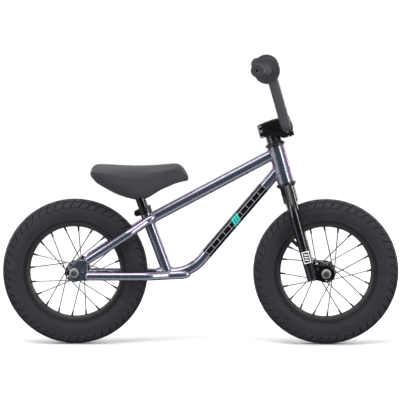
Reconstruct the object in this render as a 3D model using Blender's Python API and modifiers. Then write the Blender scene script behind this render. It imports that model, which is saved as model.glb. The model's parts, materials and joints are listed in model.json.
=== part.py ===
"""Balance bike for a young child.

A welded steel frame, a threadless fork, two spoked 12-inch wheels, an upright handlebar and a
saddle on a sliding post.  Metres, +Z up, +X forwards, +Y to the rider's left.  The origin is on
the ground, midway between the two wheels.
"""
import math

import bmesh
import bpy
from mathutils import Matrix, Vector

# ---------------------------------------------------------------- driving dimensions

GAP = 0.0003                      # clearance kept between pieces that touch
WHEELBASE = 0.547
WHEEL_RADIUS = 0.1585             # axle height above the ground

HEAD_ANGLE = math.radians(74.4)   # steering axis above the horizontal
FORK_OFFSET = 0.032               # axle ahead of the steering axis
HEAD_TUBE_RANGE = (0.2098, 0.2935)  # distances along the steering axis
HEAD_TUBE_RADIUS = 0.0177
STEERER_RADIUS = 0.0127
CROWN_RADIUS = 0.016
LEG_SPREAD = 0.0525               # fork leg and dropout plate, off the centre plane

FRAME_TUBE_RADIUS = 0.012
TOP_TUBE_RADIUS = 0.0118
STAY_RADIUS = 0.0093
TUBE_WALL = 0.0016
SEAT_TUBE_LEAN = math.radians(20.2)
SEAT_TUBE_FOOT = Vector((-0.0712, 0, 0.1545))
SEAT_TUBE_LENGTH = 0.1535
REAR_SPREAD = 0.043               # rear dropout plate, off the centre plane
PLATE_THICKNESS = 0.005

AXLE_RADIUS = 0.005
RIM_BED_RADIUS = 0.0985
RIM_FLANGE_RADIUS = 0.1115
RIM_HALF_WIDTH = 0.015
TYRE_SECTION_RADIUS = 0.0285
HUB_FLANGE = 0.028                # flange centre, off the centre plane
SPOKES_PER_SIDE = 10

BAR_RADIUS = 0.0111
STEM_HALF_WIDTH = 0.023
CLAMP_ALONG = 0.3283              # handlebar clamp, along the steering axis
CLAMP_AHEAD = 0.0331              # and ahead of it
POST_RADIUS = 0.0107

ROUND_SIDES = 16
WHEEL_SIDES = 32
SMALL_SIDES = 12

REAR_AXLE = Vector((-WHEELBASE / 2, 0, WHEEL_RADIUS))
FRONT_AXLE = Vector((WHEELBASE / 2, 0, WHEEL_RADIUS))
LEFT_RIGHT = (("left", 1), ("right", -1))
SIDEWAYS = Vector((0, 1, 0))

STEER_UP = Vector((-math.cos(HEAD_ANGLE), 0, math.sin(HEAD_ANGLE)))
STEER_AHEAD = Vector((math.sin(HEAD_ANGLE), 0, math.cos(HEAD_ANGLE)))
STEER_FOOT = FRONT_AXLE - FORK_OFFSET * STEER_AHEAD
SEAT_UP = Vector((-math.sin(SEAT_TUBE_LEAN), 0, math.cos(SEAT_TUBE_LEAN)))
SEAT_TUBE_TOP = SEAT_TUBE_FOOT + SEAT_TUBE_LENGTH * SEAT_UP


def steer(along, ahead=0.0, side=0.0):
    """A point given by its distances along, ahead of and beside the steering axis."""
    return STEER_FOOT + along * STEER_UP + ahead * STEER_AHEAD + side * SIDEWAYS


def seat(along, side=0.0):
    """A point given by its distance along the seat tube from its foot."""
    return SEAT_TUBE_FOOT + along * SEAT_UP + side * SIDEWAYS


# ---------------------------------------------------------------- scene and materials

for old_object in list(bpy.data.objects):
    bpy.data.objects.remove(old_object, do_unlink=True)

PARTS = bpy.data.collections.new("balance_bike")
CUTTERS = bpy.data.collections.new("cutters")
bpy.context.scene.collection.children.link(PARTS)
bpy.context.scene.collection.children.link(CUTTERS)


def make_finish(name, colour, roughness, metallic=0.0):
    """A Principled material with a linear colour."""
    material = bpy.data.materials.new(name)
    material.use_nodes = True
    shader = material.node_tree.nodes["Principled BSDF"]
    shader.inputs["Base Color"].default_value = (*colour, 1)
    shader.inputs["Roughness"].default_value = roughness
    shader.inputs["Metallic"].default_value = metallic
    return material


PAINT = make_finish("frame_paint", (0.11, 0.12, 0.19), 0.28, 0.7)
BLACK = make_finish("black_gloss", (0.012, 0.012, 0.014), 0.3)
BAR_BLACK = make_finish("bar_black", (0.07, 0.07, 0.072), 0.42)
RUBBER = make_finish("tyre_rubber", (0.028, 0.029, 0.031), 0.8)
GRIP_RUBBER = make_finish("grip_rubber", (0.055, 0.056, 0.058), 0.75)
SADDLE_SKIN = make_finish("saddle_skin", (0.05, 0.05, 0.052), 0.7)
STEEL = make_finish("spoke_steel", (0.45, 0.45, 0.44), 0.3, 1.0)
ZINC = make_finish("zinc_plate", (0.26, 0.26, 0.25), 0.4, 1.0)


def add_axis(name, location):
    """An empty on a joint's axis, which carries the pieces that turn or slide there."""
    axis = bpy.data.objects.new(name, None)
    axis.empty_display_size = 0.03
    axis.location = location
    PARTS.objects.link(axis)
    return axis


STEERING_AXIS = add_axis("steering_axis", STEER_FOOT)
REAR_WHEEL_AXIS = add_axis("rear_wheel_axis", REAR_AXLE)
FRONT_WHEEL_AXIS = add_axis("front_wheel_axis", FRONT_AXLE)
BAR_AXIS = add_axis("bar_axis", steer(CLAMP_ALONG, CLAMP_AHEAD))
SEAT_AXIS = add_axis("seat_axis", SEAT_TUBE_TOP)


# ---------------------------------------------------------------- modelling functions

def frame_along(origin, direction, spin=0.0):
    """The matrix that stands local +Z along a direction, turned by spin about it."""
    upright = Vector(direction).normalized()
    reference = SIDEWAYS if abs(upright.y) < 0.9 else Vector((1, 0, 0))
    across = reference.cross(upright).normalized()
    matrix = Matrix((across, upright.cross(across), upright)).transposed().to_4x4()
    matrix.translation = origin
    return matrix @ Matrix.Rotation(spin, 4, "Z")


def add_piece(name, mesh, finish, matrix=None, axis=None):
    """Put a mesh in the scene as a named piece, carried by its joint's axis if it has one."""
    piece = bpy.data.objects.new(name, mesh)
    PARTS.objects.link(piece)
    mesh.materials.append(finish)
    mesh.shade_smooth()
    mesh.set_sharp_from_angle(angle=math.radians(35))
    piece.matrix_world = matrix if matrix else Matrix()
    if axis:
        piece.parent = axis
        piece.matrix_parent_inverse = Matrix.Translation(-axis.location)
    return piece


def add_cutter(name, mesh, matrix=None):
    """Put a mesh in the scene as a cutter that is never drawn."""
    cutter = bpy.data.objects.new(name, mesh)
    CUTTERS.objects.link(cutter)
    cutter.matrix_world = matrix if matrix else Matrix()
    cutter.display_type = "WIRE"
    cutter.hide_render = True
    return cutter


def combine(piece, other, operation):
    """Cut a piece with another shape, or join that shape to it."""
    boolean = piece.modifiers.new(f"{operation.lower()}_{other.name}", "BOOLEAN")
    boolean.operation = operation
    boolean.solver = "EXACT"
    boolean.object = other


def profile_mesh(name, profile):
    """A closed outline of (radius, height) points, outer side first and downwards."""
    mesh = bpy.data.meshes.new(name)
    points = [(radius, 0, height) for radius, height in profile]
    last = len(points) - 1
    edges = [(index, index + 1) for index in range(last)]
    if profile[0][0] > 0:
        edges.append((last, 0))
    mesh.from_pydata(points, edges, [])
    return mesh


def turn(name, profile, finish, origin, direction, axis=None, sides=ROUND_SIDES, spin=0.0):
    """A turned piece: its profile is swept once round its own axis."""
    matrix = frame_along(origin, direction, spin)
    piece = add_piece(name, profile_mesh(name, profile), finish, matrix, axis)
    screw = piece.modifiers.new("turned", "SCREW")
    screw.steps = sides
    screw.render_steps = sides
    screw.use_merge_vertices = True
    screw.merge_threshold = 0.00001
    return piece


def ring_profile(outer, inner, low, high):
    """The profile of a plain ring or tube."""
    return [(outer, high), (outer, low), (inner, low), (inner, high)]


def rod_mesh(name, radius, length, sides=ROUND_SIDES):
    """A solid rod from the origin up local +Z."""
    shape = bmesh.new()
    middle = Matrix.Translation((0, 0, length / 2))
    bmesh.ops.create_cone(shape, cap_ends=True, segments=sides, radius1=radius,
                          radius2=radius, depth=length, matrix=middle)
    mesh = bpy.data.meshes.new(name)
    shape.to_mesh(mesh)
    shape.free()
    return mesh


def rod_cutter(name, start, end, radius, sides=ROUND_SIDES):
    """A solid rod between two points, for cutting or joining."""
    span = end - start
    return add_cutter(name, rod_mesh(name, radius, span.length, sides), frame_along(start, span))


def rounded_path(corners, bend_radii, steps):
    """A route through corners, each turned through an arc of its own radius."""
    route = [corners[0]]
    for index, radius in enumerate(bend_radii, start=1):
        corner = corners[index]
        inward = (corners[index - 1] - corner).normalized()
        outward = (corners[index + 1] - corner).normalized()
        half_angle = inward.angle(outward) / 2
        centre = corner + (inward + outward).normalized() * radius / math.sin(half_angle)
        start = corner + inward * radius / math.tan(half_angle)
        end = corner + outward * radius / math.tan(half_angle)
        sweep = (start - centre).angle(end - centre)
        for step in range(steps + 1):
            share = step / steps
            from_start = math.sin((1 - share) * sweep) / math.sin(sweep)
            from_end = math.sin(share * sweep) / math.sin(sweep)
            route.append(centre + (start - centre) * from_start + (end - centre) * from_end)
    route.append(corners[-1])
    return route


def curve_to_mesh(name, routes, radius, bevel_resolution, capped=True):
    """A mesh of round tubes along routes of points or (point, radius factor) pairs."""
    curve = bpy.data.curves.new(name, "CURVE")
    curve.dimensions = "3D"
    curve.bevel_depth = radius
    curve.bevel_resolution = bevel_resolution
    curve.use_fill_caps = capped
    for route in routes:
        spline = curve.splines.new("POLY")
        spline.points.add(len(route) - 1)
        for spline_point, stop in zip(spline.points, route):
            place, factor = stop if isinstance(stop, tuple) else (stop, 1.0)
            spline_point.co = (*place, 1)
            spline_point.radius = factor
    return baked_curve(name, curve)


def baked_curve(name, curve):
    """The welded mesh of a curve; the curve itself is removed."""
    holder = bpy.data.objects.new(f"{name}_curve", curve)
    PARTS.objects.link(holder)
    graph = bpy.context.evaluated_depsgraph_get()
    mesh = bpy.data.meshes.new_from_object(holder.evaluated_get(graph))
    bpy.data.objects.remove(holder, do_unlink=True)
    bpy.data.curves.remove(curve)
    shape = bmesh.new()
    shape.from_mesh(mesh)
    bmesh.ops.remove_doubles(shape, verts=shape.verts, dist=0.00001)
    shape.to_mesh(mesh)
    shape.free()
    mesh.name = name
    return mesh


def hollow(piece, wall):
    """Give an open tube its wall, inwards from its outer surface."""
    solidify = piece.modifiers.new("tube_wall", "SOLIDIFY")
    solidify.thickness = wall
    solidify.offset = -1
    solidify.use_even_offset = True


def plate_mesh(name, outlines, thickness):
    """A flat plate in local XY: its outline first, then its holes."""
    curve = bpy.data.curves.new(name, "CURVE")
    curve.dimensions = "2D"
    curve.fill_mode = "BOTH"
    curve.extrude = thickness / 2
    for outline in outlines:
        spline = curve.splines.new("POLY")
        spline.points.add(len(outline) - 1)
        spline.use_cyclic_u = True
        for spline_point, (across, up) in zip(spline.points, outline):
            spline_point.co = (across, up, 0, 1)
    return baked_curve(name, curve)


def arc(centre, radius, start, end, steps):
    """Points along an arc, its angles in degrees."""
    angles = [math.radians(start + (end - start) * step / steps) for step in range(steps + 1)]
    return [(centre[0] + radius * math.cos(a), centre[1] + radius * math.sin(a)) for a in angles]


def side_plane(origin, ahead, up):
    """The matrix of a plate that stands in the plane of two directions."""
    matrix = Matrix((ahead, up, ahead.cross(up))).transposed().to_4x4()
    matrix.translation = origin
    return matrix


WORLD_AHEAD = Vector((1, 0, 0))
WORLD_UP = Vector((0, 0, 1))


# ---------------------------------------------------------------- frame tubes

def tube_piece(name, start, end, radius, wall=TUBE_WALL, spin=0.0):
    """A straight frame tube, open at both ends."""
    span = end - start
    profile = ring_profile(radius, radius - wall, 0, span.length)
    return turn(name, profile, PAINT, start, span, spin=spin)


def build_frame():
    """The welded tubes: each is mitred to its neighbour with the weld gap left open."""
    low, high = HEAD_TUBE_RANGE
    tube_piece("head_tube", steer(low), steer(high), HEAD_TUBE_RADIUS, 0.0022)
    head_cutter = rod_cutter("head_tube_cope", steer(low - 0.01), steer(high + 0.01),
                             HEAD_TUBE_RADIUS + GAP)

    down_corner = Vector((-0.0229, 0, SEAT_TUBE_FOOT.z))
    down_route = rounded_path([steer(0.2470), down_corner, Vector((-0.094, 0, SEAT_TUBE_FOOT.z))],
                              [0.085], 5)
    down_mesh = curve_to_mesh("down_tube", [down_route], FRAME_TUBE_RADIUS, 6, capped=False)
    down_tube = add_piece("down_tube", down_mesh, PAINT)
    hollow(down_tube, TUBE_WALL)
    cope_mesh = curve_to_mesh("down_tube_cope", [down_route], FRAME_TUBE_RADIUS + GAP, 6)
    down_cutter = add_cutter("down_tube_cope", cope_mesh)
    combine(down_tube, head_cutter, "DIFFERENCE")

    seat_tube = tube_piece("seat_tube", SEAT_TUBE_FOOT, SEAT_TUBE_TOP, FRAME_TUBE_RADIUS, 0.001)
    combine(seat_tube, down_cutter, "DIFFERENCE")
    seat_cutter = rod_cutter("seat_tube_cope", seat(-0.01), seat(SEAT_TUBE_LENGTH + 0.02),
                             FRAME_TUBE_RADIUS + GAP)

    junction = seat(0.1238)
    top_tube = tube_piece("top_tube", junction, steer(0.2802), TOP_TUBE_RADIUS,
                          spin=math.radians(4))
    combine(top_tube, head_cutter, "DIFFERENCE")
    combine(top_tube, seat_cutter, "DIFFERENCE")
    top_cutter = rod_cutter("top_tube_cope", junction, steer(0.2802), TOP_TUBE_RADIUS + GAP)

    for side_name, sign in LEFT_RIGHT:
        build_stays(side_name, sign, junction, (seat_cutter, top_cutter), down_cutter)
        build_rear_dropout(side_name, sign)


def build_stays(side_name, sign, junction, upper_cutters, down_cutter):
    """One seat stay and one chain stay, bent in past the tyre to meet the frame's tubes."""
    seat_stay_foot = Vector((-0.2440, sign * REAR_SPREAD, 0.1865))
    seat_stay_bend = Vector((-0.1540, sign * REAR_SPREAD, 0.2440))
    beside_seat_tube = junction + Vector((-0.004, sign * 0.0195, -0.0025))
    past_seat_tube = junction + Vector((0.0075, sign * 0.0175, 0.0045))
    route = rounded_path([seat_stay_foot, seat_stay_bend, beside_seat_tube, past_seat_tube],
                         [0.030, 0.010], 3)
    mesh = curve_to_mesh(f"seat_stay_{side_name}", [route], STAY_RADIUS, 4, capped=False)
    seat_stay = add_piece(f"seat_stay_{side_name}", mesh, PAINT)
    hollow(seat_stay, TUBE_WALL)
    for cutter in upper_cutters:
        combine(seat_stay, cutter, "DIFFERENCE")

    height = 0.1512
    chain_stay_foot = Vector((-0.2440, sign * REAR_SPREAD, height))
    chain_stay_bend = Vector((-0.1120, sign * REAR_SPREAD, height))
    beside_down_tube = Vector((-0.0700, sign * 0.0200, height))
    past_down_tube = Vector((-0.0320, sign * 0.0170, height + 0.001))
    route = rounded_path([chain_stay_foot, chain_stay_bend, beside_down_tube, past_down_tube],
                         [0.045, 0.030], 3)
    mesh = curve_to_mesh(f"chain_stay_{side_name}", [route], STAY_RADIUS, 4, capped=False)
    chain_stay = add_piece(f"chain_stay_{side_name}", mesh, PAINT)
    hollow(chain_stay, TUBE_WALL)
    combine(chain_stay, down_cutter, "DIFFERENCE")


def build_rear_dropout(side_name, sign):
    """A flat plate with a slot that opens to the rear, so that the axle can slide back."""
    axle = (REAR_AXLE.x, REAR_AXLE.z)
    slot = AXLE_RADIUS + GAP
    rear_edge = axle[0] - 0.0135
    outline = [(axle[0] + 0.0106, axle[1] + 0.0295), (rear_edge, axle[1] + 0.0082)]
    outline += [(rear_edge, axle[1] + slot)]
    outline += arc(axle, slot, 90, -90, 6)
    outline += [(rear_edge, axle[1] - slot)]
    outline += arc((axle[0] + 0.0005, axle[1] - 0.0025), 0.0145, 200, 265, 4)
    outline += [(axle[0] + 0.0290, axle[1] - 0.0170), (axle[0] + 0.0292, axle[1] + 0.0270)]
    adjuster_hole = arc((axle[0] + 0.0185, axle[1] + 0.0050), 0.0027, 0, 315, 7)
    mesh = plate_mesh(f"rear_dropout_{side_name}", [outline, adjuster_hole], PLATE_THICKNESS)
    plane = side_plane(Vector((0, sign * REAR_SPREAD, 0)), WORLD_AHEAD, WORLD_UP)
    add_piece(f"rear_dropout_{side_name}", mesh, PAINT, plane)


# ---------------------------------------------------------------- bolts and nuts

def bolt(name, head, shank, length, top, direction, finish, axis=None):
    """A round-headed bolt: head is (radius, height), and the head's top is at top."""
    head_radius, head_height = head
    profile = [(0, 0), (head_radius, 0), (head_radius, -head_height), (shank, -head_height),
               (shank, -length), (0, -length)]
    return turn(name, profile, finish, top, direction, axis, sides=SMALL_SIDES)


def axle_nut(name, seat_point, outward, axis=None):
    """A hexagon nut with a round flange, threaded on the axle's end."""
    disc = [(0, 0.0022), (0.0105, 0.0022), (0.0105, 0), (0, 0)]
    flange = turn(name, disc, ZINC, seat_point, outward, axis, sides=SMALL_SIDES)
    hexagon_radius = 0.0075 / math.cos(math.pi / 6)
    body = rod_mesh(f"{name}_hexagon", hexagon_radius, 0.0078, 6)
    lifted = seat_point + 0.0008 * outward
    hexagon = add_cutter(f"{name}_hexagon", body, frame_along(lifted, outward))
    combine(flange, hexagon, "UNION")
    bore = rod_cutter(f"{name}_bore", seat_point - 0.002 * outward,
                      seat_point + 0.012 * outward, AXLE_RADIUS + GAP, SMALL_SIDES)
    combine(flange, bore, "DIFFERENCE")
    return flange


# ---------------------------------------------------------------- wheels

def around(centre, radius, angle, side=0.0):
    """A point on a wheel: angle in degrees from straight ahead, upwards at the front."""
    turned = math.radians(angle)
    return centre + Vector((radius * math.cos(turned), side, radius * math.sin(turned)))


def both_sides(half):
    """Reflect a half profile, given from its middle outwards to +height, to a full one."""
    return half[::-1] + [(radius, -height) for radius, height in half]


def tyre_profile(tread_radius):
    """The section of a fat balloon tyre, open at the beads."""
    middle = tread_radius - TYRE_SECTION_RADIUS
    outer = [(tread_radius, 0.0070), (middle + 0.0205, 0.0200), (middle + 0.0040, 0.0285),
             (middle - 0.0115, 0.0252), (RIM_FLANGE_RADIUS + 0.0008, 0.0125),
             (RIM_BED_RADIUS + 0.0055, 0.0122)]
    inner = [(tread_radius - 0.0042, 0.0060), (middle + 0.0180, 0.0168),
             (middle + 0.0030, 0.0252), (middle - 0.0095, 0.0222),
             (RIM_FLANGE_RADIUS + 0.0012, 0.0100), (RIM_BED_RADIUS + 0.0055, 0.0092)]
    return both_sides(outer) + both_sides(inner)[::-1]


def rim_profile():
    """The section of a rim: a spoke bed, two slanted shoulders and two bead flanges."""
    outer = [(RIM_BED_RADIUS, 0.0090), (RIM_BED_RADIUS + 0.0035, RIM_HALF_WIDTH),
             (RIM_FLANGE_RADIUS, RIM_HALF_WIDTH), (RIM_FLANGE_RADIUS, 0.0128),
             (RIM_BED_RADIUS + 0.0048, 0.0126), (RIM_BED_RADIUS + 0.0036, 0.0085)]
    return outer + [(radius, -height) for radius, height in outer[::-1]]


def hub_profile():
    """The section of a hub shell: two flanges on a waisted barrel, bored for bearings."""
    outer = [(0.0130, 0.0225), (0.0215, HUB_FLANGE - 0.0015), (0.0215, HUB_FLANGE + 0.0015),
             (0.0155, HUB_FLANGE + 0.0020), (0.0150, 0.0330)]
    inner = [(0.0080, 0.0250), (0.0120, 0.0250), (0.0120, 0.0330)]
    return both_sides(outer) + both_sides(inner)[::-1]


def build_spokes(name, centre, side, first_nipple, axis):
    """Ten spokes of one flange, laced so that each passes two others, joined where they touch."""
    step = 360 / SPOKES_PER_SIDE
    sweep = 2 * step
    groups = (("leading", 1, 0.0), ("trailing", -1, 0.0005))
    shapes = []
    for group, sense, outwards in groups:
        routes = []
        for index in range(SPOKES_PER_SIDE // 2):
            rim_angle = first_nipple + step * (2 * index + (0 if sense > 0 else 1))
            hub = around(centre, 0.0175, rim_angle - sense * sweep, side * (0.0312 + outwards))
            rim = around(centre, 0.0973, rim_angle, side * (0.0030 + outwards))
            leave = hub.lerp(rim, 0.13)
            leave.y = hub.y
            nipple = leave.lerp(rim, 0.88)
            route = [(hub, 1.0), (leave, 1.0), (nipple, 1.0), (nipple.lerp(rim, 0.05), 1.9),
                     (rim, 1.9)]
            routes.append(route)
        shapes.append(curve_to_mesh(f"{name}_{group}", routes, 0.0011, 0))
    local = Matrix.Translation(-centre)
    for mesh in shapes:
        mesh.transform(local)
    spokes = add_piece(name, shapes[0], STEEL, Matrix.Translation(centre), axis)
    trailing = add_cutter(f"{name}_trailing", shapes[1], Matrix.Translation(centre))
    combine(spokes, trailing, "UNION")


def build_wheel(end, centre, nipple_phase, valve_angle, axis):
    """One wheel: hub, bearings, spokes, rim, inner tube and tyre, all on its own axis."""
    half_facet = math.pi / WHEEL_SIDES
    tread_radius = WHEEL_RADIUS / math.cos(half_facet)
    turn(f"{end}_tyre", tyre_profile(tread_radius), RUBBER, centre, SIDEWAYS, axis,
         WHEEL_SIDES, half_facet)
    rim = turn(f"{end}_rim", rim_profile(), BLACK, centre, SIDEWAYS, axis, WHEEL_SIDES,
               half_facet)
    valve_hole = rod_cutter(f"{end}_valve_hole", around(centre, 0.090, valve_angle),
                            around(centre, 0.108, valve_angle), 0.0045, SMALL_SIDES)
    combine(rim, valve_hole, "DIFFERENCE")
    build_inner_tube(end, centre, valve_angle, axis)
    turn(f"{end}_hub_shell", hub_profile(), BLACK, centre, SIDEWAYS, axis)
    bearing = ring_profile(0.0117, AXLE_RADIUS + GAP, -0.0035, 0.0035)
    for side_name, sign in LEFT_RIGHT:
        place = centre + sign * 0.0290 * SIDEWAYS
        turn(f"{end}_hub_bearing_{side_name}", bearing, STEEL, place, SIDEWAYS, axis)
        offset = 0 if sign < 0 else 180 / SPOKES_PER_SIDE
        build_spokes(f"{end}_spokes_{side_name}", centre, sign, nipple_phase + offset, axis)


def build_inner_tube(end, centre, valve_angle, axis):
    """A thin rubber tube in the tyre, with its valve out through the rim."""
    ring = 0.1290
    round_points = 8
    angles = [-2 * math.pi * (index + 0.5) / round_points for index in range(round_points)]
    shells = []
    for radius in (0.0185, 0.0170):
        shells.append([(ring + radius * math.cos(a), radius * math.sin(a)) for a in angles])
    tube = turn(f"{end}_inner_tube", shells[0], RUBBER, centre, SIDEWAYS, axis, ROUND_SIDES)
    valve = rod_cutter(f"{end}_valve_stem", around(centre, 0.082, valve_angle),
                       around(centre, 0.1125, valve_angle), 0.0040, 8)
    combine(tube, valve, "UNION")
    air = add_cutter(f"{end}_tube_air", turned_mesh(f"{end}_tube_air", shells[1], ROUND_SIDES),
                     frame_along(centre, SIDEWAYS))
    combine(tube, air, "DIFFERENCE")
    bore = rod_cutter(f"{end}_valve_bore", around(centre, 0.080, valve_angle),
                      around(centre, 0.1160, valve_angle), 0.0015, 6)
    combine(tube, bore, "DIFFERENCE")


def turned_mesh(name, profile, sides):
    """The mesh of a turned shape, with its Screw modifier applied."""
    holder = bpy.data.objects.new(f"{name}_turning", profile_mesh(name, profile))
    PARTS.objects.link(holder)
    screw = holder.modifiers.new("turned", "SCREW")
    screw.steps = sides
    screw.render_steps = sides
    screw.use_merge_vertices = True
    screw.merge_threshold = 0.00001
    graph = bpy.context.evaluated_depsgraph_get()
    mesh = bpy.data.meshes.new_from_object(holder.evaluated_get(graph))
    bpy.data.objects.remove(holder, do_unlink=True)
    return mesh


def build_axle(end, centre, plate_centre, axis=None):
    """A stepped axle: thick between the plates, and a nut outside each plate."""
    shoulder = plate_centre - PLATE_THICKNESS / 2 - GAP
    outer_face = plate_centre + PLATE_THICKNESS / 2 + GAP
    tip = outer_face + 0.0125
    half = [(AXLE_RADIUS, 0.0333), (0.0080, 0.0333), (0.0080, shoulder),
            (AXLE_RADIUS, shoulder), (AXLE_RADIUS, tip), (0, tip)]
    profile = half[::-1] + [(radius, -height) for radius, height in half]
    turn(f"{end}_axle", profile, ZINC, centre, SIDEWAYS, axis)
    for side_name, sign in LEFT_RIGHT:
        axle_nut(f"{end}_axle_nut_{side_name}", centre + sign * outer_face * SIDEWAYS,
                 sign * SIDEWAYS, axis)


# ---------------------------------------------------------------- fork and headset

def build_fork():
    """The steerer with its thicker crown tube, two splayed legs and their dropout plates."""
    crown_foot, crown_top, steerer_top = 0.1655, 0.2003, 0.3425
    profile = [(STEERER_RADIUS, steerer_top), (STEERER_RADIUS, crown_top),
               (CROWN_RADIUS, crown_top - 0.0003), (CROWN_RADIUS, crown_foot),
               (0.0108, crown_foot), (0.0108, steerer_top)]
    turn("fork_steerer", profile, BLACK, STEER_FOOT, STEER_UP, STEERING_AXIS)
    crown_cutter = rod_cutter("crown_cope", steer(crown_foot - 0.05), steer(crown_top + 0.01),
                              CROWN_RADIUS + GAP)
    for side_name, sign in LEFT_RIGHT:
        build_fork_leg(side_name, sign, crown_cutter)


def build_fork_leg(side_name, sign, crown_cutter):
    """A tapered leg, open at the crown and closed at the foot, with its dropout plate."""
    name = f"fork_leg_{side_name}"
    corners = [steer(0.1950, 0, sign * 0.0255), steer(0.1480, 0, sign * LEG_SPREAD),
               steer(-0.0040, 0, sign * LEG_SPREAD)]
    route = rounded_path(corners, [0.060], 4)
    length = (route[-1] - route[0]).length
    tapered = [(point, 1.12 - 0.14 * (point - route[0]).length / length) for point in route]
    mesh = curve_to_mesh(name, [tapered], 0.0113, 4)
    leg = add_piece(name, mesh, BLACK, None, STEERING_AXIS)
    bore_route = [point + 0.004 * STEER_UP for point in route[:-1]]
    bore_route.append(steer(0.0400, 0, sign * LEG_SPREAD))
    bore_mesh = curve_to_mesh(f"{name}_bore", [bore_route], 0.0093, 3)
    combine(leg, add_cutter(f"{name}_bore", bore_mesh), "DIFFERENCE")
    combine(leg, crown_cutter, "DIFFERENCE")

    hole = arc((0.0170, 0.0160), 0.0026, 0, 315, 7)
    plate = plate_mesh(f"{name}_dropout", [fork_plate_outline(), hole], PLATE_THICKNESS)
    plane = side_plane(steer(0, 0, sign * LEG_SPREAD), STEER_AHEAD, STEER_UP)
    combine(leg, add_cutter(f"{name}_dropout", plate, plane), "UNION")


def fork_plate_outline():
    """The dropout plate ahead of the leg: its slot opens downwards below the axle."""
    slot = AXLE_RADIUS + GAP
    lip = math.degrees(math.asin(slot / 0.0185))
    outline = [(0.0, 0.0300), (0.0125, 0.0275)]
    outline += arc((FORK_OFFSET, 0), 0.0185, 62, lip - 90, 8)
    outline += arc((FORK_OFFSET, 0), slot, 0, 180, 6)
    outline += arc((FORK_OFFSET, 0), 0.0185, -90 - lip, -118, 2)
    outline += [(0.0, -0.0030)]
    return outline


def build_headset():
    """Pressed cups with their bearings, the crown race and the spacer under the stem."""
    low, high = HEAD_TUBE_RANGE
    skirt = HEAD_TUBE_RADIUS - 0.0022 - GAP
    for name, start, direction in (("headset_lower_cup", low, -1), ("headset_upper_cup", high, 1)):
        cup = [(0.0200, 0.0058), (0.0217, 0.0045), (0.0217, GAP), (skirt, GAP), (skirt, -0.0080),
               (skirt - 0.0015, -0.0080), (skirt - 0.0015, 0.0012), (0.0186, 0.0012),
               (0.0186, 0.0058)]
        turn(name, cup, BLACK, steer(start), direction * STEER_UP)
        bearing = ring_profile(0.0180, STEERER_RADIUS + GAP, 0.0015, 0.0058)
        turn(name.replace("cup", "bearing"), bearing, STEEL, steer(start), direction * STEER_UP,
             STEERING_AXIS)
    race = [(0.0190, low - 0.0061), (0.0190, low - 0.0075), (0.0165, low - 0.0092),
            (STEERER_RADIUS + GAP, low - 0.0092), (STEERER_RADIUS + GAP, low - 0.0061)]
    turn("headset_crown_race", race, BLACK, STEER_FOOT, STEER_UP, STEERING_AXIS)
    spacer = [(0.0158, 0.3187), (0.0158, high + 0.0085), (0.0195, high + 0.0070),
              (0.0195, high + 0.0061), (STEERER_RADIUS + GAP, high + 0.0061),
              (STEERER_RADIUS + GAP, 0.3187)]
    turn("headset_spacer", spacer, BLACK, STEER_FOOT, STEER_UP, STEERING_AXIS)


# ---------------------------------------------------------------- stem

def build_stem():
    """A block stem: bored for the steerer, split at the rear, with a bolted face plate."""
    outline = [(-0.0275, 0.3190), (0.0080, 0.3190), (0.0205, 0.3065), (0.0325, 0.3065),
               (0.0325, 0.3490), (0.0200, 0.3500), (-0.0080, 0.3490), (-0.0275, 0.3455)]
    plane = side_plane(STEER_FOOT, STEER_AHEAD, STEER_UP)
    body_mesh = plate_mesh("stem_body", [outline], 2 * STEM_HALF_WIDTH)
    body = add_piece("stem_body", body_mesh, BLACK, plane, STEERING_AXIS)
    clamp = steer(CLAMP_ALONG, CLAMP_AHEAD)
    bar_bore = rod_cutter("bar_bore", clamp - 0.03 * SIDEWAYS, clamp + 0.03 * SIDEWAYS,
                          BAR_RADIUS + GAP)
    bores = [bar_bore,
             rod_cutter("steerer_bore", steer(0.31), steer(0.36), STEERER_RADIUS + GAP),
             rod_cutter("spacer_recess", steer(0.30), steer(0.3190), 0.0162),
             rod_cutter("cap_recess", steer(0.3445), steer(0.36), 0.0155)]
    slit_outline = [(-0.030, 0.310), (-0.010, 0.310), (-0.010, 0.360), (-0.030, 0.360)]
    slit = add_cutter("stem_slit", plate_mesh("stem_slit", [slit_outline], 0.003), plane)
    bores.append(slit)

    pinch_ahead = -0.0215
    for name, along, sign in (("stem_pinch_bolt_upper", 0.3395, 1),
                              ("stem_pinch_bolt_lower", 0.3270, -1)):
        head_top = steer(along, pinch_ahead, sign * (STEM_HALF_WIDTH + 0.0008))
        bolt(name, (0.0044, 0.0048), 0.0026, 0.0430, head_top, sign * SIDEWAYS, BLACK,
             STEERING_AXIS)
        far_end = head_top - sign * 0.0450 * SIDEWAYS
        bores.append(rod_cutter(f"{name}_hole", far_end, head_top, 0.0030, SMALL_SIDES))
        head_seat = head_top - sign * (0.0048 + GAP) * SIDEWAYS
        bores.append(rod_cutter(f"{name}_pocket", head_seat, head_top + sign * 0.01 * SIDEWAYS,
                                0.0048, SMALL_SIDES))
    for cutter in bores:
        combine(body, cutter, "DIFFERENCE")
    build_face_plate(body, plane, bar_bore)
    build_top_cap()


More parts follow.
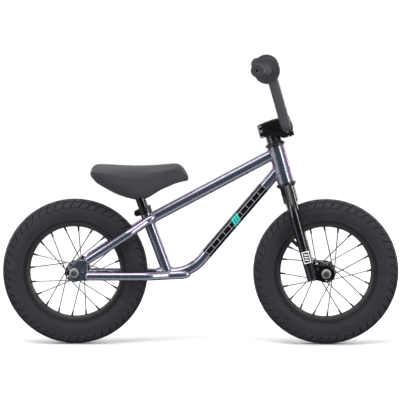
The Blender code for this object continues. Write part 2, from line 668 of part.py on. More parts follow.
def build_face_plate(body, plane, bar_bore):
    """The plate that clamps the handlebar, and its four bolts."""
    outline = [(0.0340, 0.3060), (0.0395, 0.3060), (0.0425, 0.3130), (0.0470, 0.3210),
               (0.0475, 0.3283), (0.0470, 0.3360), (0.0425, 0.3430), (0.0395, 0.3500),
               (0.0340, 0.3500)]
    mesh = plate_mesh("stem_face_plate", [outline], 2 * STEM_HALF_WIDTH)
    plate = add_piece("stem_face_plate", mesh, BLACK, plane, STEERING_AXIS)
    combine(plate, bar_bore, "DIFFERENCE")
    for level, along in (("upper", 0.3447), ("lower", 0.3110)):
        for side_name, sign in LEFT_RIGHT:
            name = f"face_bolt_{level}_{side_name}"
            side = sign * 0.0160
            head_top = steer(along, 0.0455, side)
            bolt(name, (0.0043, 0.0050), 0.0026, 0.0285, head_top, STEER_AHEAD, BLACK,
                 STEERING_AXIS)
            hole = rod_cutter(f"{name}_hole", steer(along, 0.0150, side), head_top, 0.0030,
                              SMALL_SIDES)
            pocket = rod_cutter(f"{name}_pocket", steer(along, 0.0455 - 0.0050 - GAP, side),
                                steer(along, 0.0550, side), 0.0047, SMALL_SIDES)
            combine(body, hole, "DIFFERENCE")
            combine(plate, hole, "DIFFERENCE")
            combine(plate, pocket, "DIFFERENCE")


def build_top_cap():
    """The cap that draws the headset together, its bolt and the star nut it pulls on."""
    cap = ring_profile(0.0150, 0.0033, 0.3448, 0.3478)
    turn("stem_top_cap", cap, BLACK, STEER_FOOT, STEER_UP, STEERING_AXIS)
    bolt("top_cap_bolt", (0.0050, 0.0018), 0.0027, 0.0330, steer(0.3500), STEER_UP, BLACK,
         STEERING_AXIS)
    star = [(0.0105, 0.3260), (0.0105, 0.3245), (0.0030, 0.3225), (0.0030, 0.3255),
            (0.0060, 0.3275)]
    turn("star_nut", star, ZINC, STEER_FOOT, STEER_UP, STEERING_AXIS, SMALL_SIDES)


# ---------------------------------------------------------------- handlebar

def bar_corners(sign):
    """The corners of one half of the handlebar, from its clamp to its end."""
    clamp = steer(CLAMP_ALONG, CLAMP_AHEAD)
    rise_foot = clamp + Vector((0, sign * 0.0500, 0))
    rise_top = Vector((0.1558, sign * 0.0860, 0.5820))
    sweep_start = Vector((0.1476, sign * 0.1060, 0.5994))
    tip = Vector((0.1239, sign * 0.2310, 0.6037))
    return [clamp, rise_foot, rise_top, sweep_start, tip]


def build_handlebar():
    """A bent steel tube with a crossbar welded between its two risers."""
    right = bar_corners(-1)
    left = bar_corners(1)
    corners = right[:0:-1] + left[1:]
    bend_radii = [0.034, 0.038, 0.030, 0.030, 0.038, 0.034]
    route = rounded_path(corners, bend_radii, 3)
    mesh = curve_to_mesh("handlebar", [route], BAR_RADIUS, 3, capped=False)
    handlebar = add_piece("handlebar", mesh, BAR_BLACK, None, BAR_AXIS)
    hollow(handlebar, 0.0020)
    reach_into_riser = 0.0075
    share_up_riser = 0.72
    right_end = right[1].lerp(right[2], share_up_riser) + reach_into_riser * SIDEWAYS
    left_end = left[1].lerp(left[2], share_up_riser) - reach_into_riser * SIDEWAYS
    crossbar = rod_cutter("handlebar_crossbar", right_end, left_end, 0.0080, SMALL_SIDES)
    combine(handlebar, crossbar, "UNION")
    for side_name, sign in LEFT_RIGHT:
        start, end = bar_corners(sign)[3:]
        build_grip(side_name, start, end)


def build_grip(side_name, start, end):
    """A moulded rubber grip with a wide flange at its inner end and a vented end cap."""
    direction = (end - start).normalized()
    length = 0.1140
    top = 0.0050
    low = top - length
    bore = BAR_RADIUS + GAP
    profile = [(0.0110, top), (0.0142, top - 0.0030), (0.0142, low + 0.0075),
               (0.0270, low + 0.0045), (0.0283, low + 0.0020), (0.0270, low), (bore, low),
               (bore, GAP), (0.0025, GAP), (0.0025, top)]
    turn(f"grip_{side_name}", profile, GRIP_RUBBER, end, direction, BAR_AXIS)


# ---------------------------------------------------------------- seat

def build_seat():
    """The post, the clamp round the seat tube, and the saddle on its base."""
    post_top = seat(0.2120)
    post_foot = seat(0.0600)
    span = post_top - post_foot
    turn("seat_post", ring_profile(POST_RADIUS, POST_RADIUS - 0.0018, 0, span.length), BLACK,
         post_foot, span, SEAT_AXIS)
    build_clamp()
    base_low, base_high = 0.1840, 0.2150
    base = [(0.0165, base_high), (0.0165, base_low + 0.0030), (0.0150, base_low),
            (POST_RADIUS + GAP, base_low), (POST_RADIUS + GAP, 0.2124), (0.0040, 0.2124),
            (0.0040, base_high)]
    turn("saddle_base", base, BLACK, SEAT_TUBE_FOOT, SEAT_UP, SEAT_AXIS)
    saddle = add_piece("saddle", saddle_mesh(), SADDLE_SKIN, None, SEAT_AXIS)
    smooth = saddle.modifiers.new("padding", "SUBSURF")
    smooth.levels = 1
    smooth.render_levels = 1
    pocket = rod_cutter("saddle_pocket", seat(0.1500), seat(base_high + GAP), 0.0165 + GAP)
    combine(saddle, pocket, "DIFFERENCE")


def build_clamp():
    """A split collar round the top of the seat tube, with a pinch bolt behind it."""
    low = SEAT_TUBE_LENGTH - 0.0147
    inner = FRAME_TUBE_RADIUS + GAP
    collar = turn("seat_clamp", ring_profile(0.0155, inner, low, SEAT_TUBE_LENGTH), BLACK,
                  SEAT_TUBE_FOOT, SEAT_UP)
    behind = SEAT_UP.cross(SIDEWAYS)
    if behind.x > 0:
        behind.negate()
    plane = side_plane(SEAT_TUBE_FOOT, behind, SEAT_UP)
    ear_outline = [(0.0130, low), (0.0235, low), (0.0235, SEAT_TUBE_LENGTH),
                   (0.0130, SEAT_TUBE_LENGTH)]
    ears = add_cutter("seat_clamp_ears", plate_mesh("seat_clamp_ears", [ear_outline], 0.018),
                      plane)
    slit_outline = [(0.0050, low - 0.01), (0.0300, low - 0.01), (0.0300, low + 0.03),
                    (0.0050, low + 0.03)]
    slit = add_cutter("seat_clamp_slit", plate_mesh("seat_clamp_slit", [slit_outline], 0.0025),
                      plane)
    middle = seat(SEAT_TUBE_LENGTH - 0.0075) + 0.0190 * behind
    hole = rod_cutter("seat_clamp_hole", middle - 0.02 * SIDEWAYS, middle + 0.02 * SIDEWAYS,
                      0.0028, SMALL_SIDES)
    combine(collar, ears, "UNION")
    combine(collar, slit, "DIFFERENCE")
    combine(collar, hole, "DIFFERENCE")
    clear = rod_cutter("seat_clamp_bore", seat(low - 0.01), seat(SEAT_TUBE_LENGTH + 0.01), inner)
    combine(collar, clear, "DIFFERENCE")
    bolt("seat_clamp_bolt", (0.0046, 0.0045), 0.0025, 0.0240, middle - 0.0138 * SIDEWAYS,
         -SIDEWAYS, BLACK)


def saddle_mesh():
    """The saddle's padded body: rings of points from its tail to its nose."""
    stations = [
        # along X, top, bottom, half width, half width of the keel
        (-0.2385, 0.3760, 0.3640, 0.030, 0.018),
        (-0.2310, 0.3900, 0.3560, 0.047, 0.026),
        (-0.2050, 0.3945, 0.3400, 0.056, 0.030),
        (-0.1750, 0.3925, 0.3265, 0.054, 0.026),
        (-0.1450, 0.3905, 0.3150, 0.043, 0.022),
        (-0.1150, 0.3925, 0.3165, 0.032, 0.020),
        (-0.0850, 0.3950, 0.3400, 0.026, 0.016),
        (-0.0560, 0.3935, 0.3510, 0.023, 0.014),
        (-0.0360, 0.3800, 0.3570, 0.017, 0.010),
        (-0.0270, 0.3660, 0.3600, 0.008, 0.005),
    ]
    shape = bmesh.new()
    rings = []
    for along, top, bottom, half, keel in stations:
        shoulder = top - 0.28 * (top - bottom)
        waist = bottom + 0.42 * (top - bottom)
        ring = [(0, top), (0.75 * half, top - 0.001), (half, shoulder), (0.92 * half, waist),
                (keel, bottom), (-keel, bottom), (-0.92 * half, waist), (-half, shoulder),
                (-0.75 * half, top - 0.001)]
        rings.append([shape.verts.new((along, side, height)) for side, height in ring])
    for rear, front in zip(rings, rings[1:]):
        count = len(rear)
        for index in range(count):
            following = (index + 1) % count
            shape.faces.new((rear[index], rear[following], front[following], front[index]))
    shape.faces.new(rings[0][::-1])
    shape.faces.new(rings[-1])
    bmesh.ops.recalc_face_normals(shape, faces=shape.faces)
    mesh = bpy.data.meshes.new("saddle")
    shape.to_mesh(mesh)
    shape.free()
    return mesh


# ---------------------------------------------------------------- assembly

build_frame()
build_headset()
build_fork()
build_stem()
build_handlebar()
build_seat()
build_wheel("rear", REAR_AXLE, 13.7, 40.7, REAR_WHEEL_AXIS)
build_wheel("front", FRONT_AXLE, 2.1, 137.1, FRONT_WHEEL_AXIS)
build_axle("rear", REAR_AXLE, REAR_SPREAD)
build_axle("front", FRONT_AXLE, LEG_SPREAD, STEERING_AXIS)
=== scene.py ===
import json
import math

import bmesh
import bpy
from mathutils import Matrix, Vector


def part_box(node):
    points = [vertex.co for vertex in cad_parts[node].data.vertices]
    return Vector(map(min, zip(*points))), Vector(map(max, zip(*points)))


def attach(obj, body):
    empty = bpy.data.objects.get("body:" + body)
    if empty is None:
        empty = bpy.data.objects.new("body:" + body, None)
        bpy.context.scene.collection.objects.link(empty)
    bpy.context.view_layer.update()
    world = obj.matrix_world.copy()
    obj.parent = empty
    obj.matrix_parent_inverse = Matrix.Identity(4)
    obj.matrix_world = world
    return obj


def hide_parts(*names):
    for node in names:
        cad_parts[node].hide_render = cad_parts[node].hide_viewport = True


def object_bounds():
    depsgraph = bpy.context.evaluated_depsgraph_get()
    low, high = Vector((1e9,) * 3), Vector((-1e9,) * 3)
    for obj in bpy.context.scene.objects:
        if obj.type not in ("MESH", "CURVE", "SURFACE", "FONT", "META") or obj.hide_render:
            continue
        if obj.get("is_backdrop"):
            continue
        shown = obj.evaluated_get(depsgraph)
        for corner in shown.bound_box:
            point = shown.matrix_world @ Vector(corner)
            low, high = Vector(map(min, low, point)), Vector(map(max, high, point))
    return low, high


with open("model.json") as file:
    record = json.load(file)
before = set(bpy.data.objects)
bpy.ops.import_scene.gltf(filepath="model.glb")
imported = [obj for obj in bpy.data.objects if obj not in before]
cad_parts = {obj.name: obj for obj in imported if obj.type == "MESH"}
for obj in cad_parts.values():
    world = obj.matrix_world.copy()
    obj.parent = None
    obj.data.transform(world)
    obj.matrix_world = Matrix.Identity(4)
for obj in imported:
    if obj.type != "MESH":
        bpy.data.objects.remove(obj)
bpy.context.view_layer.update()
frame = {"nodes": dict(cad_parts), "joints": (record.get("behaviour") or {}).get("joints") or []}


# ---------------------------------------------------------------- frame tubes
# Seamless steel tubes, bent, mitred and welded in a jig, then sprayed as one: a dark base
# coat, a colour-shift pearl coat and a clear gloss coat.  The head tube is the thickest; the
# down tube bends under the seat tube, and the slim stays spread round the rear tyre.

HEAD_TUBE_RADIUS = 0.0177
DOWN_TUBE_RADIUS = 0.0120
TOP_TUBE_RADIUS = 0.0118
SEAT_TUBE_RADIUS = 0.0120
SEAT_TUBE_WALL = 0.0010
STAY_RADIUS = 0.0093
DOWN_TUBE_BEND = 0.085
CHAIN_LINE = 0.1545                # height of the down tube's level end
STAY_LINE = 0.1512                 # height of the chain stays
STAY_SPREAD = 0.043                # off the centre plane, beside the rear tyre
SIDEWAYS = Vector((0, 1, 0))
LEFT_RIGHT = (("left", 1), ("right", -1))

joints = {joint["name"]: joint for joint in frame["joints"]}
steer_foot = Vector(joints["steering"]["pos_m"])
steer_up = Vector(joints["steering"]["axis"])
steer_ahead = Vector((steer_up.z, 0, -steer_up.x))
seat_up = Vector(joints["seat_height"]["axis"])
post_low, post_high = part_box("seat_post")
seat_middle = (post_low + post_high) / 2


def steer(along, ahead=0.0, side=0.0):
    """A point by its distances along, ahead of and beside the steering axis."""
    return steer_foot + along * steer_up + ahead * steer_ahead + side * SIDEWAYS


def seat(along, side=0.0):
    """A point on the seat tube's axis, from the height where it meets the down tube."""
    foot = seat_middle - seat_up * ((seat_middle.z - CHAIN_LINE) / seat_up.z)
    return foot + along * seat_up + side * SIDEWAYS


def mm(*points):
    """Points that are given in millimetres."""
    return [tuple(value / 1000 for value in point) for point in points]


def reach(node, origin, direction):
    """How far a CAD node reaches along a direction, backwards and forwards."""
    distances = [(vertex.co - origin).dot(direction) for vertex in frame["nodes"][node].data.vertices]
    return min(distances), max(distances)


def linear(hex_colour):
    """An sRGB hex colour as the linear RGBA that the shader takes."""
    channels = [int(hex_colour[place:place + 2], 16) / 255 for place in (1, 3, 5)]
    lit = [c / 12.92 if c <= 0.04045 else ((c + 0.055) / 1.055) ** 2.4 for c in channels]
    return (*lit, 1.0)


def add_node(owner, kind, settings=(), links=()):
    """Add a node to a material or world: {name or input: value}, {input: node or its output}."""
    tree = owner.node_tree
    node = tree.nodes.new("ShaderNode" + kind)
    for name, value in dict(settings).items():
        if isinstance(name, str) and hasattr(node, name):
            setattr(node, name, value)
        else:
            node.inputs[name].default_value = value
    for name, source in dict(links).items():
        output = source.outputs[0] if isinstance(source, bpy.types.Node) else source
        tree.links.new(output, node.inputs[name])
    return node


def new_finish(name):
    """A node material with nothing in it yet."""
    material = bpy.data.materials.new(name)
    material.use_nodes = True
    material.node_tree.nodes.clear()
    return material


def finish_with(material, settings, links):
    """Send a principled shader to the surface."""
    shader = add_node(material, "BsdfPrincipled", settings, links)
    add_node(material, "OutputMaterial", {}, {"Surface": shader})
    return material


def colour_stops(node, stops):
    """Give a colour ramp its stops: (place, sRGB hex)."""
    ramp = node.color_ramp
    while len(ramp.elements) < len(stops):
        ramp.elements.new(1.0)
    for element, (place, colour) in zip(ramp.elements, stops):
        element.position = place
        element.color = linear(colour)
    return node


# Colour-shift pearl enamel under gloss, coloured by which way the surface faces: slate where it
# faces out, violet and pale lavender on its shoulders, dark violet at its top and bottom. This is
# partly the pearl's own colour shift and partly painted light: the pale shoulders are a painted
# highlight and the dark violet edges are painted shade.
frame_enamel = new_finish("pearl_enamel")
enamel_place = add_node(frame_enamel, "TexCoord").outputs
facing = add_node(frame_enamel, "SeparateXYZ", {}, {0: enamel_place["Normal"]})
outward = add_node(frame_enamel, "Math", {"operation": "ABSOLUTE"}, {0: facing.outputs["Y"]})
pearl_shift_and_painted_highlight = add_node(frame_enamel, "ValToRGB", {}, {0: outward})
colour_stops(pearl_shift_and_painted_highlight, [(0.0, "#4c3e54"), (0.4, "#84748c"), (0.7, "#a49aac"), (0.88, "#888a96"),
                     (0.97, "#68707e"), (1.0, "#647682")])
# Mica flake is about 0.05 mm; it is drawn at 1.2 mm so that it shows at all.
flake = add_node(frame_enamel, "TexVoronoi", {"Scale": 1 / 0.0012}, {"Vector": enamel_place["Object"]})
grey = add_node(frame_enamel, "RGBToBW", {}, {0: flake.outputs["Color"]})
lift = add_node(frame_enamel, "MapRange", {3: 0.98, 4: 1.02}, {0: grey})
tinted = add_node(frame_enamel, "Mix", {"data_type": "RGBA", "blend_type": "MULTIPLY", 0: 1.0},
                  {6: pearl_shift_and_painted_highlight, 7: lift})
# Orange peel of the sprayed coats, about 2 mm from crest to crest.
peel = add_node(frame_enamel, "TexNoise", {"Scale": 1 / 0.002, "Detail": 1.0},
                {"Vector": enamel_place["Object"]})
peel_bump = add_node(frame_enamel, "Bump", {"Strength": 0.02, "Distance": 0.0001}, {"Height": peel})
enamel_rough = add_node(frame_enamel, "MapRange", {3: 0.22, 4: 0.25}, {0: grey})
gloss = {"Metallic": 0.8, "Specular Tint": linear("#c9a2d8"), "Coat Weight": 0.5, "Coat Roughness": 0.06}
finish_with(frame_enamel, gloss,
            {"Base Color": tinted.outputs[2], "Roughness": enamel_rough, "Normal": peel_bump})


def outward_faced(mesh, weld=0.0):
    """Turn a mesh's faces outwards, and first weld its points that lie closer than a distance."""
    shape = bmesh.new()
    shape.from_mesh(mesh)
    if weld:
        bmesh.ops.remove_doubles(shape, verts=shape.verts, dist=weld)
    bmesh.ops.recalc_face_normals(shape, faces=shape.faces)
    shape.to_mesh(mesh)
    shape.free()
    return mesh


def skin(rings, loop=False):
    """A closed mesh through rings of points, capped at both ends unless the rings form a loop."""
    count = len(rings[0])
    points = [point for ring in rings for point in ring]
    faces = []
    for row in range(len(rings) if loop else len(rings) - 1):
        near = row * count
        far = (row + 1) % len(rings) * count
        for step in range(count):
            following = (step + 1) % count
            faces.append((near + step, near + following, far + following, far + step))
    if not loop:
        faces.append(tuple(range(count))[::-1])
        faces.append(tuple(range(len(points) - count, len(points))))
    mesh = bpy.data.meshes.new("skin")
    mesh.from_pydata(points, [], faces)
    return outward_faced(mesh)


def merged(meshes):
    """Several closed meshes as one."""
    shape = bmesh.new()
    for mesh in meshes:
        shape.from_mesh(mesh)
        bpy.data.meshes.remove(mesh)
    whole = bpy.data.meshes.new("merged")
    shape.to_mesh(whole)
    shape.free()
    return whole


def upright_frame(direction, reference=SIDEWAYS):
    """Two directions that make a right-handed set with a given one."""
    upright = Vector(direction).normalized()
    if abs(upright.dot(reference)) > 0.9:
        reference = Vector((1, 0, 0))
    across = reference.cross(upright).normalized()
    return across, upright.cross(across), upright


def circle(centre, radius, across, aside, sides):
    """A ring of points round a centre."""
    angles = [2 * math.pi * step / sides for step in range(sides)]
    return [centre + radius * (math.cos(a) * across + math.sin(a) * aside) for a in angles]


def turned(profile, origin, direction, sides=64, loop=False):
    """A turned piece: (radius, height) points swept round its axis; a ring if loop is true."""
    across, aside, upright = upright_frame(direction)
    rings = [circle(origin + height * upright, radius, across, aside, sides) for radius, height in profile]
    return skin(rings, loop)


def sweep(route, radii, sides=40, loop=False):
    """A round tube along a route of points, with a radius for each."""
    last = len(route) - 1
    across = upright_frame(route[1] - route[0])[0]
    rings = []
    for index, (point, radius) in enumerate(zip(route, radii)):
        before = route[index - 1] if loop else route[max(index - 1, 0)]
        after = route[(index + 1) % len(route)] if loop else route[min(index + 1, last)]
        along = (after - before).normalized()
        across = (across - across.dot(along) * along).normalized()
        rings.append(circle(point, radius, across, along.cross(across), sides))
    return skin(rings, loop)


def rounded_path(corners, bends, steps=14):
    """A route through corners, each turned through an arc of its own radius."""
    route = [corners[0]]
    for index, radius in enumerate(bends, start=1):
        corner = corners[index]
        inward = (corners[index - 1] - corner).normalized()
        outward = (corners[index + 1] - corner).normalized()
        half_angle = inward.angle(outward) / 2
        centre = corner + (inward + outward).normalized() * radius / math.sin(half_angle)
        start = corner + inward * radius / math.tan(half_angle)
        end = corner + outward * radius / math.tan(half_angle)
        sweep_angle = (start - centre).angle(end - centre)
        for step in range(steps + 1):
            share = step / steps
            from_start = math.sin((1 - share) * sweep_angle) / math.sin(sweep_angle)
            from_end = math.sin(share * sweep_angle) / math.sin(sweep_angle)
            route.append(centre + (start - centre) * from_start + (end - centre) * from_end)
    route.append(corners[-1])
    return route


def extended(route, radii, offsets):
    """Carry a tube on past its end: (distance on, radius) steps that round it off."""
    along = (route[-1] - route[-2]).normalized()
    longer = route + [route[-1] + distance * along for distance, _ in offsets]
    return longer, radii + [radius for _, radius in offsets]


def add_piece(name, mesh, finish, body, slot, replaced=(), crease=35):
    """Put a mesh in the scene, shaded smooth, riding on its body in place of CAD nodes."""
    piece = bpy.data.objects.new(name, mesh)
    bpy.context.scene.collection.objects.link(piece)
    mesh.name = name
    mesh.materials.append(finish)
    mesh.shade_smooth()
    mesh.set_sharp_from_angle(angle=math.radians(crease))
    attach(piece, body)
    if replaced:
        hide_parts(*replaced)
    return piece


PAINTED = (frame_enamel, "frame", "frame_paint")


def painted(node, mesh, crease=35):
    """A part of the frame in its enamel, in place of one CAD node."""
    add_piece(f"painted_{node}", mesh, *PAINTED, [node], crease)


def on_steering(profile):
    """A turned ring about the steering axis."""
    return turned(profile, steer_foot, steer_up, loop=True)


head_low, head_high = reach("head_tube", steer_foot, steer_up)
head_profile = [(HEAD_TUBE_RADIUS - 0.0008, head_low), (HEAD_TUBE_RADIUS, head_low + 0.0006),
                (HEAD_TUBE_RADIUS, head_high - 0.0006), (HEAD_TUBE_RADIUS - 0.0008, head_high),
                (HEAD_TUBE_RADIUS - 0.0022, head_high), (HEAD_TUBE_RADIUS - 0.0022, head_low)]
painted("head_tube", on_steering(head_profile))

down_corner = Vector((-0.0229, 0, CHAIN_LINE))
down_head = steer(0.2470)
down_tail = Vector((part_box("down_tube")[0].x, 0, CHAIN_LINE))
down_route = rounded_path([down_head, down_corner, down_tail], [DOWN_TUBE_BEND], 24)
down_radii = [DOWN_TUBE_RADIUS] * len(down_route)
down_route, down_radii = extended(down_route, down_radii, [(0.0010, 0.0115), (0.0015, 0.0105)])
painted("down_tube", sweep(down_route, down_radii, 48))

seat_tube_top = reach("seat_tube", seat(0), seat_up)[1]
seat_bore = SEAT_TUBE_RADIUS - SEAT_TUBE_WALL
seat_profile = [(SEAT_TUBE_RADIUS, 0), (SEAT_TUBE_RADIUS, seat_tube_top - 0.0003),
                (SEAT_TUBE_RADIUS - 0.0003, seat_tube_top), (seat_bore, seat_tube_top), (seat_bore, 0)]
painted("seat_tube", turned(seat_profile, seat(0), seat_up, 48, True))

top_junction = seat(0.1238)
top_head = steer(0.2802)
painted("top_tube", sweep([top_junction, top_head], [TOP_TUBE_RADIUS] * 2, 48))

stay_axle_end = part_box("chain_stay_left")[0].x
# Each stay's end is rounded off like a hood over the dropout plate, and pinched at the frame.
hood = mm((2.2, 8.8), (4, 7.4), (5.2, 5.4), (5.8, 3))
stay_pinch = mm((6, 8.6), (12, 7.3), (16.5, 5), (19, 2.2))
for side_name, sign in LEFT_RIGHT:
    seat_stay_route = rounded_path([Vector((-0.2440, sign * STAY_SPREAD, 0.1865)),
                                    Vector((-0.1540, sign * STAY_SPREAD, 0.2440)),
                                    top_junction + Vector((-0.004, sign * 0.0195, -0.0025)),
                                    top_junction + Vector((0.0010, sign * 0.0182, 0.0006))],
                                   [0.030, 0.002])
    chain_stay_route = rounded_path([Vector((stay_axle_end, sign * STAY_SPREAD, STAY_LINE)),
                                     Vector((-0.1120, sign * STAY_SPREAD, STAY_LINE)),
                                     Vector((-0.0700, sign * 0.0200, STAY_LINE)),
                                     Vector((-0.0400, sign * 0.0176, STAY_LINE + 0.001))],
                                    [0.045, 0.030])
    for stay, route in (("seat_stay", seat_stay_route), ("chain_stay", chain_stay_route)):
        radii = [STAY_RADIUS] * len(route)
        route, radii = extended(route, radii, stay_pinch)
        route, radii = extended(route[::-1], radii[::-1], hood)
        painted(f"{stay}_{side_name}", sweep(route, radii))


# ---------------------------------------------------------------- weld beads
# Each mitred joint is run round with a TIG torch, which leaves a low bead of overlapping
# ripples about 2.6 mm apart.  The beads are painted over with the tubes.

BEAD_RADIUS = 0.0021
RIPPLE_PITCH = 0.0026
RIPPLE_HEIGHT = 0.10               # as a share of the bead's radius


def seam(start, direction, radius, other, other_direction, other_radius, sides=120):
    """Where a round tube that runs from start meets another: points round its surface."""
    across, aside, along = upright_frame(direction)
    axis = Vector(other_direction).normalized()
    points = []
    for foot in circle(start, radius, across, aside, sides):
        away = foot - other
        away -= away.dot(axis) * axis
        closing = along - along.dot(axis) * axis
        half_b = away.dot(closing)
        square = closing.length_squared
        inside = max(half_b * half_b - square * (away.length_squared - other_radius ** 2), 0.0)
        points.append(foot + (-half_b - math.sqrt(inside)) / square * along)
    return points


def bead(points, radius=BEAD_RADIUS):
    """A closed weld bead along a seam, with its ripples."""
    length = sum((points[index] - points[index - 1]).length for index in range(len(points)))
    ripples = max(round(length / RIPPLE_PITCH), 4)
    fine = []
    for index, point in enumerate(points):
        following = points[(index + 1) % len(points)]
        fine += [point.lerp(following, part / 3) for part in range(3)]
    waves = [math.sin(2 * math.pi * ripples * index / len(fine)) for index in range(len(fine))]
    return sweep(fine, [radius * (1 + RIPPLE_HEIGHT * wave) for wave in waves], 12, loop=True)


down_direction = down_head - down_corner
level = Vector((1, 0, 0))
down_seat_point = Vector((0, 0, CHAIN_LINE))
BEAD_LIFT = 0.0002                 # the beads at the seat tube sit a little proud
top_direction = top_head - top_junction
beads = [
    bead(seam(top_junction, top_direction, TOP_TUBE_RADIUS, steer_foot, steer_up, HEAD_TUBE_RADIUS)),
    bead(seam(down_corner, down_direction, DOWN_TUBE_RADIUS, steer_foot, steer_up, HEAD_TUBE_RADIUS)),
    bead(seam(top_head, -top_direction, TOP_TUBE_RADIUS, seat(0), seat_up, SEAT_TUBE_RADIUS + BEAD_LIFT)),
    bead(seam(seat(0.06), -seat_up, SEAT_TUBE_RADIUS, down_seat_point, level, DOWN_TUBE_RADIUS + BEAD_LIFT)),
]
add_piece("frame_weld_beads", merged(beads), *PAINTED)


# ---------------------------------------------------------------- rear dropouts
# Laser-cut 5 mm steel plates with their edges broken, welded into the hooded ends of the
# stays.  The slot opens to the rear, so that the axle can slide, and the hole takes a stop
# screw.

PLATE_THICKNESS = 0.005
PLATE_BEVEL = 0.0009
AXLE_SLOT = 0.0053

rear_axle = Vector(joints["rear_wheel_spin"]["pos_m"])


def arc(centre, radius, start, end, steps):
    """Points along an arc, its angles in degrees."""
    angles = [math.radians(start + (end - start) * step / steps) for step in range(steps + 1)]
    return [(centre[0] + radius * math.cos(a), centre[1] + radius * math.sin(a)) for a in angles]


def plate(outlines, thickness, origin, ahead, up, edge=PLATE_BEVEL):
    """A flat plate with broken edges: an outline, then its holes, in (ahead, up) distances."""
    curve = bpy.data.curves.new("plate", "CURVE")
    curve.dimensions = "2D"
    curve.fill_mode = "BOTH"
    curve.extrude = thickness / 2 - edge
    curve.bevel_depth = edge
    curve.bevel_resolution = 2
    curve.offset = -edge
    for outline in outlines:
        spline = curve.splines.new("POLY")
        spline.points.add(len(outline) - 1)
        spline.use_cyclic_u = True
        for spline_point, (across, rise) in zip(spline.points, outline):
            spline_point.co = (across, rise, 0, 1)
    holder = bpy.data.objects.new("plate", curve)
    bpy.context.scene.collection.objects.link(holder)
    graph = bpy.context.evaluated_depsgraph_get()
    mesh = bpy.data.meshes.new_from_object(holder.evaluated_get(graph))
    bpy.data.objects.remove(holder, do_unlink=True)
    bpy.data.curves.remove(curve)
    outward_faced(mesh, weld=0.00001)
    matrix = Matrix((ahead, up, ahead.cross(up))).transposed().to_4x4()
    matrix.translation = origin
    mesh.transform(matrix)
    return mesh


rear_edge = -0.0135
dropout_outline = [(0.0106, 0.0295), (rear_edge + 0.0020, 0.0098), (rear_edge, 0.0080)]
dropout_outline += [(rear_edge, AXLE_SLOT), *arc((0, 0), AXLE_SLOT, 90, -90, 16)]
dropout_outline += [(rear_edge, -AXLE_SLOT)]
dropout_outline += arc((0.0005, -0.0025), 0.0145, 200, 265, 14)
dropout_outline += [(0.0290, -0.0170), (0.0292, 0.0270)]
stop_hole = arc((0.0185, 0.0050), 0.0027, 0, 345, 23)
for side_name, sign in LEFT_RIGHT:
    middle = Vector((rear_axle.x, sign * STAY_SPREAD, rear_axle.z))
    mesh = plate([dropout_outline, stop_hole], PLATE_THICKNESS, middle, level, Vector((0, 0, 1)), 0.0012)
    painted(f"rear_dropout_{side_name}", mesh, 30)


# ---------------------------------------------------------------- headset
# Two black anodised aluminium cups are pressed into the head tube.  Each holds a steel ball
# race, and a turned spacer fills the gap between the upper one and the stem.

STEERER_RADIUS = 0.0127


def mottled(name, colours, roughness, pattern, bump, settings=(), grain=None):
    """A finish whose colour and roughness wander between two values with a noise.

    pattern is the noise's (size, detail) and bump its (strength, height); grain is another
    texture's (kind, settings) for the relief.  Sizes are in metres.
    """
    finish = new_finish(name)
    place = add_node(finish, "TexCoord").outputs["Object"]
    noise = add_node(finish, "TexNoise", {"Scale": 1 / pattern[0], "Detail": pattern[1]}, {"Vector": place})
    relief = add_node(finish, *grain, {"Vector": place}) if grain else noise
    shade = add_node(finish, "ValToRGB", {}, {0: noise})
    colour_stops(shade, [(0.3, colours[0]), (0.7, colours[1])])
    rough = add_node(finish, "MapRange", {3: roughness[0], 4: roughness[1]}, {0: noise})
    raised = add_node(finish, "Bump", {"Strength": bump[0], "Distance": bump[1]}, {"Height": relief})
    return finish_with(finish, settings, {"Base Color": shade, "Roughness": rough, "Normal": raised})


# Black anodised aluminium: the dyed oxide is satin, and turned edges catch thin lights.  The
# tool's turning marks, about 0.2 mm apart on the part, are drawn at 0.8 mm.
anodised_black = mottled("black_anodised_aluminium", ("#0b0b0d", "#121215"), (0.26, 0.36), (0.0008, 2),
                         (0.05, 0.0001), {"Specular IOR Level": 0.6})


def bright_steel(name, colours, roughness, grain):
    """Bare or plated steel: a grey metal whose finish varies a little from place to place."""
    return mottled(name, colours, roughness, (grain, 3), (0.06, 0.0001), {"Metallic": 1.0})


race_steel = bright_steel("ground_bearing_steel", ("#9fa0a2", "#b4b5b7"), (0.18, 0.28), 0.001)

for name, start, facing in (("headset_lower_cup", head_low, -1), ("headset_upper_cup", head_high, 1)):
    cup = mm((19.6, 5.8), (20.3, 5.6), (21.4, 4.8), (21.7, 4.2), (21.7, 1.2), (21.4, 0.5), (20.8, 0.3),
             (15.2, 0.3), (15.2, -8), (13.7, -8), (13.7, 1.2), (18.6, 1.2), (18.6, 5.6), (18.8, 5.8))
    add_piece(f"anodised_{name}", turned(cup, steer(start), facing * steer_up, loop=True),
              anodised_black, "frame", "black_alloy", [name])
for name in ("headset_lower_bearing", "headset_upper_bearing"):
    frame["nodes"][name].data.materials[0] = race_steel

FORK_ALLOY = (anodised_black, "fork", "black_alloy")
race_low, race_high = reach("headset_crown_race", steer_foot, steer_up)
crown_race = [(0.0188, race_high), (0.0190, race_high - 0.0004), (0.0190, race_high - 0.0012),
              (0.0167, race_low + 0.0002), (0.0163, race_low), (0.0130, race_low), (0.0130, race_high)]
add_piece("anodised_crown_race", on_steering(crown_race), *FORK_ALLOY, ["headset_crown_race"])

spacer_low, spacer_high = reach("headset_spacer", steer_foot, steer_up)
spacer = [(0.0154, spacer_high), (0.0158, spacer_high - 0.0004), (0.0158, spacer_low + 0.0030),
          (0.0164, spacer_low + 0.0019), (0.0193, spacer_low + 0.0009), (0.0195, spacer_low + 0.0005),
          (0.0195, spacer_low), (0.0130, spacer_low), (0.0130, spacer_high)]
add_piece("anodised_headset_spacer", on_steering(spacer), *FORK_ALLOY, ["headset_spacer"])


# ---------------------------------------------------------------- fork
# A steel steerer with two tapered legs welded to its thicker foot, each leg cut square at the
# bottom with a laser-cut dropout plate let into it.  It is powder coated gloss black.

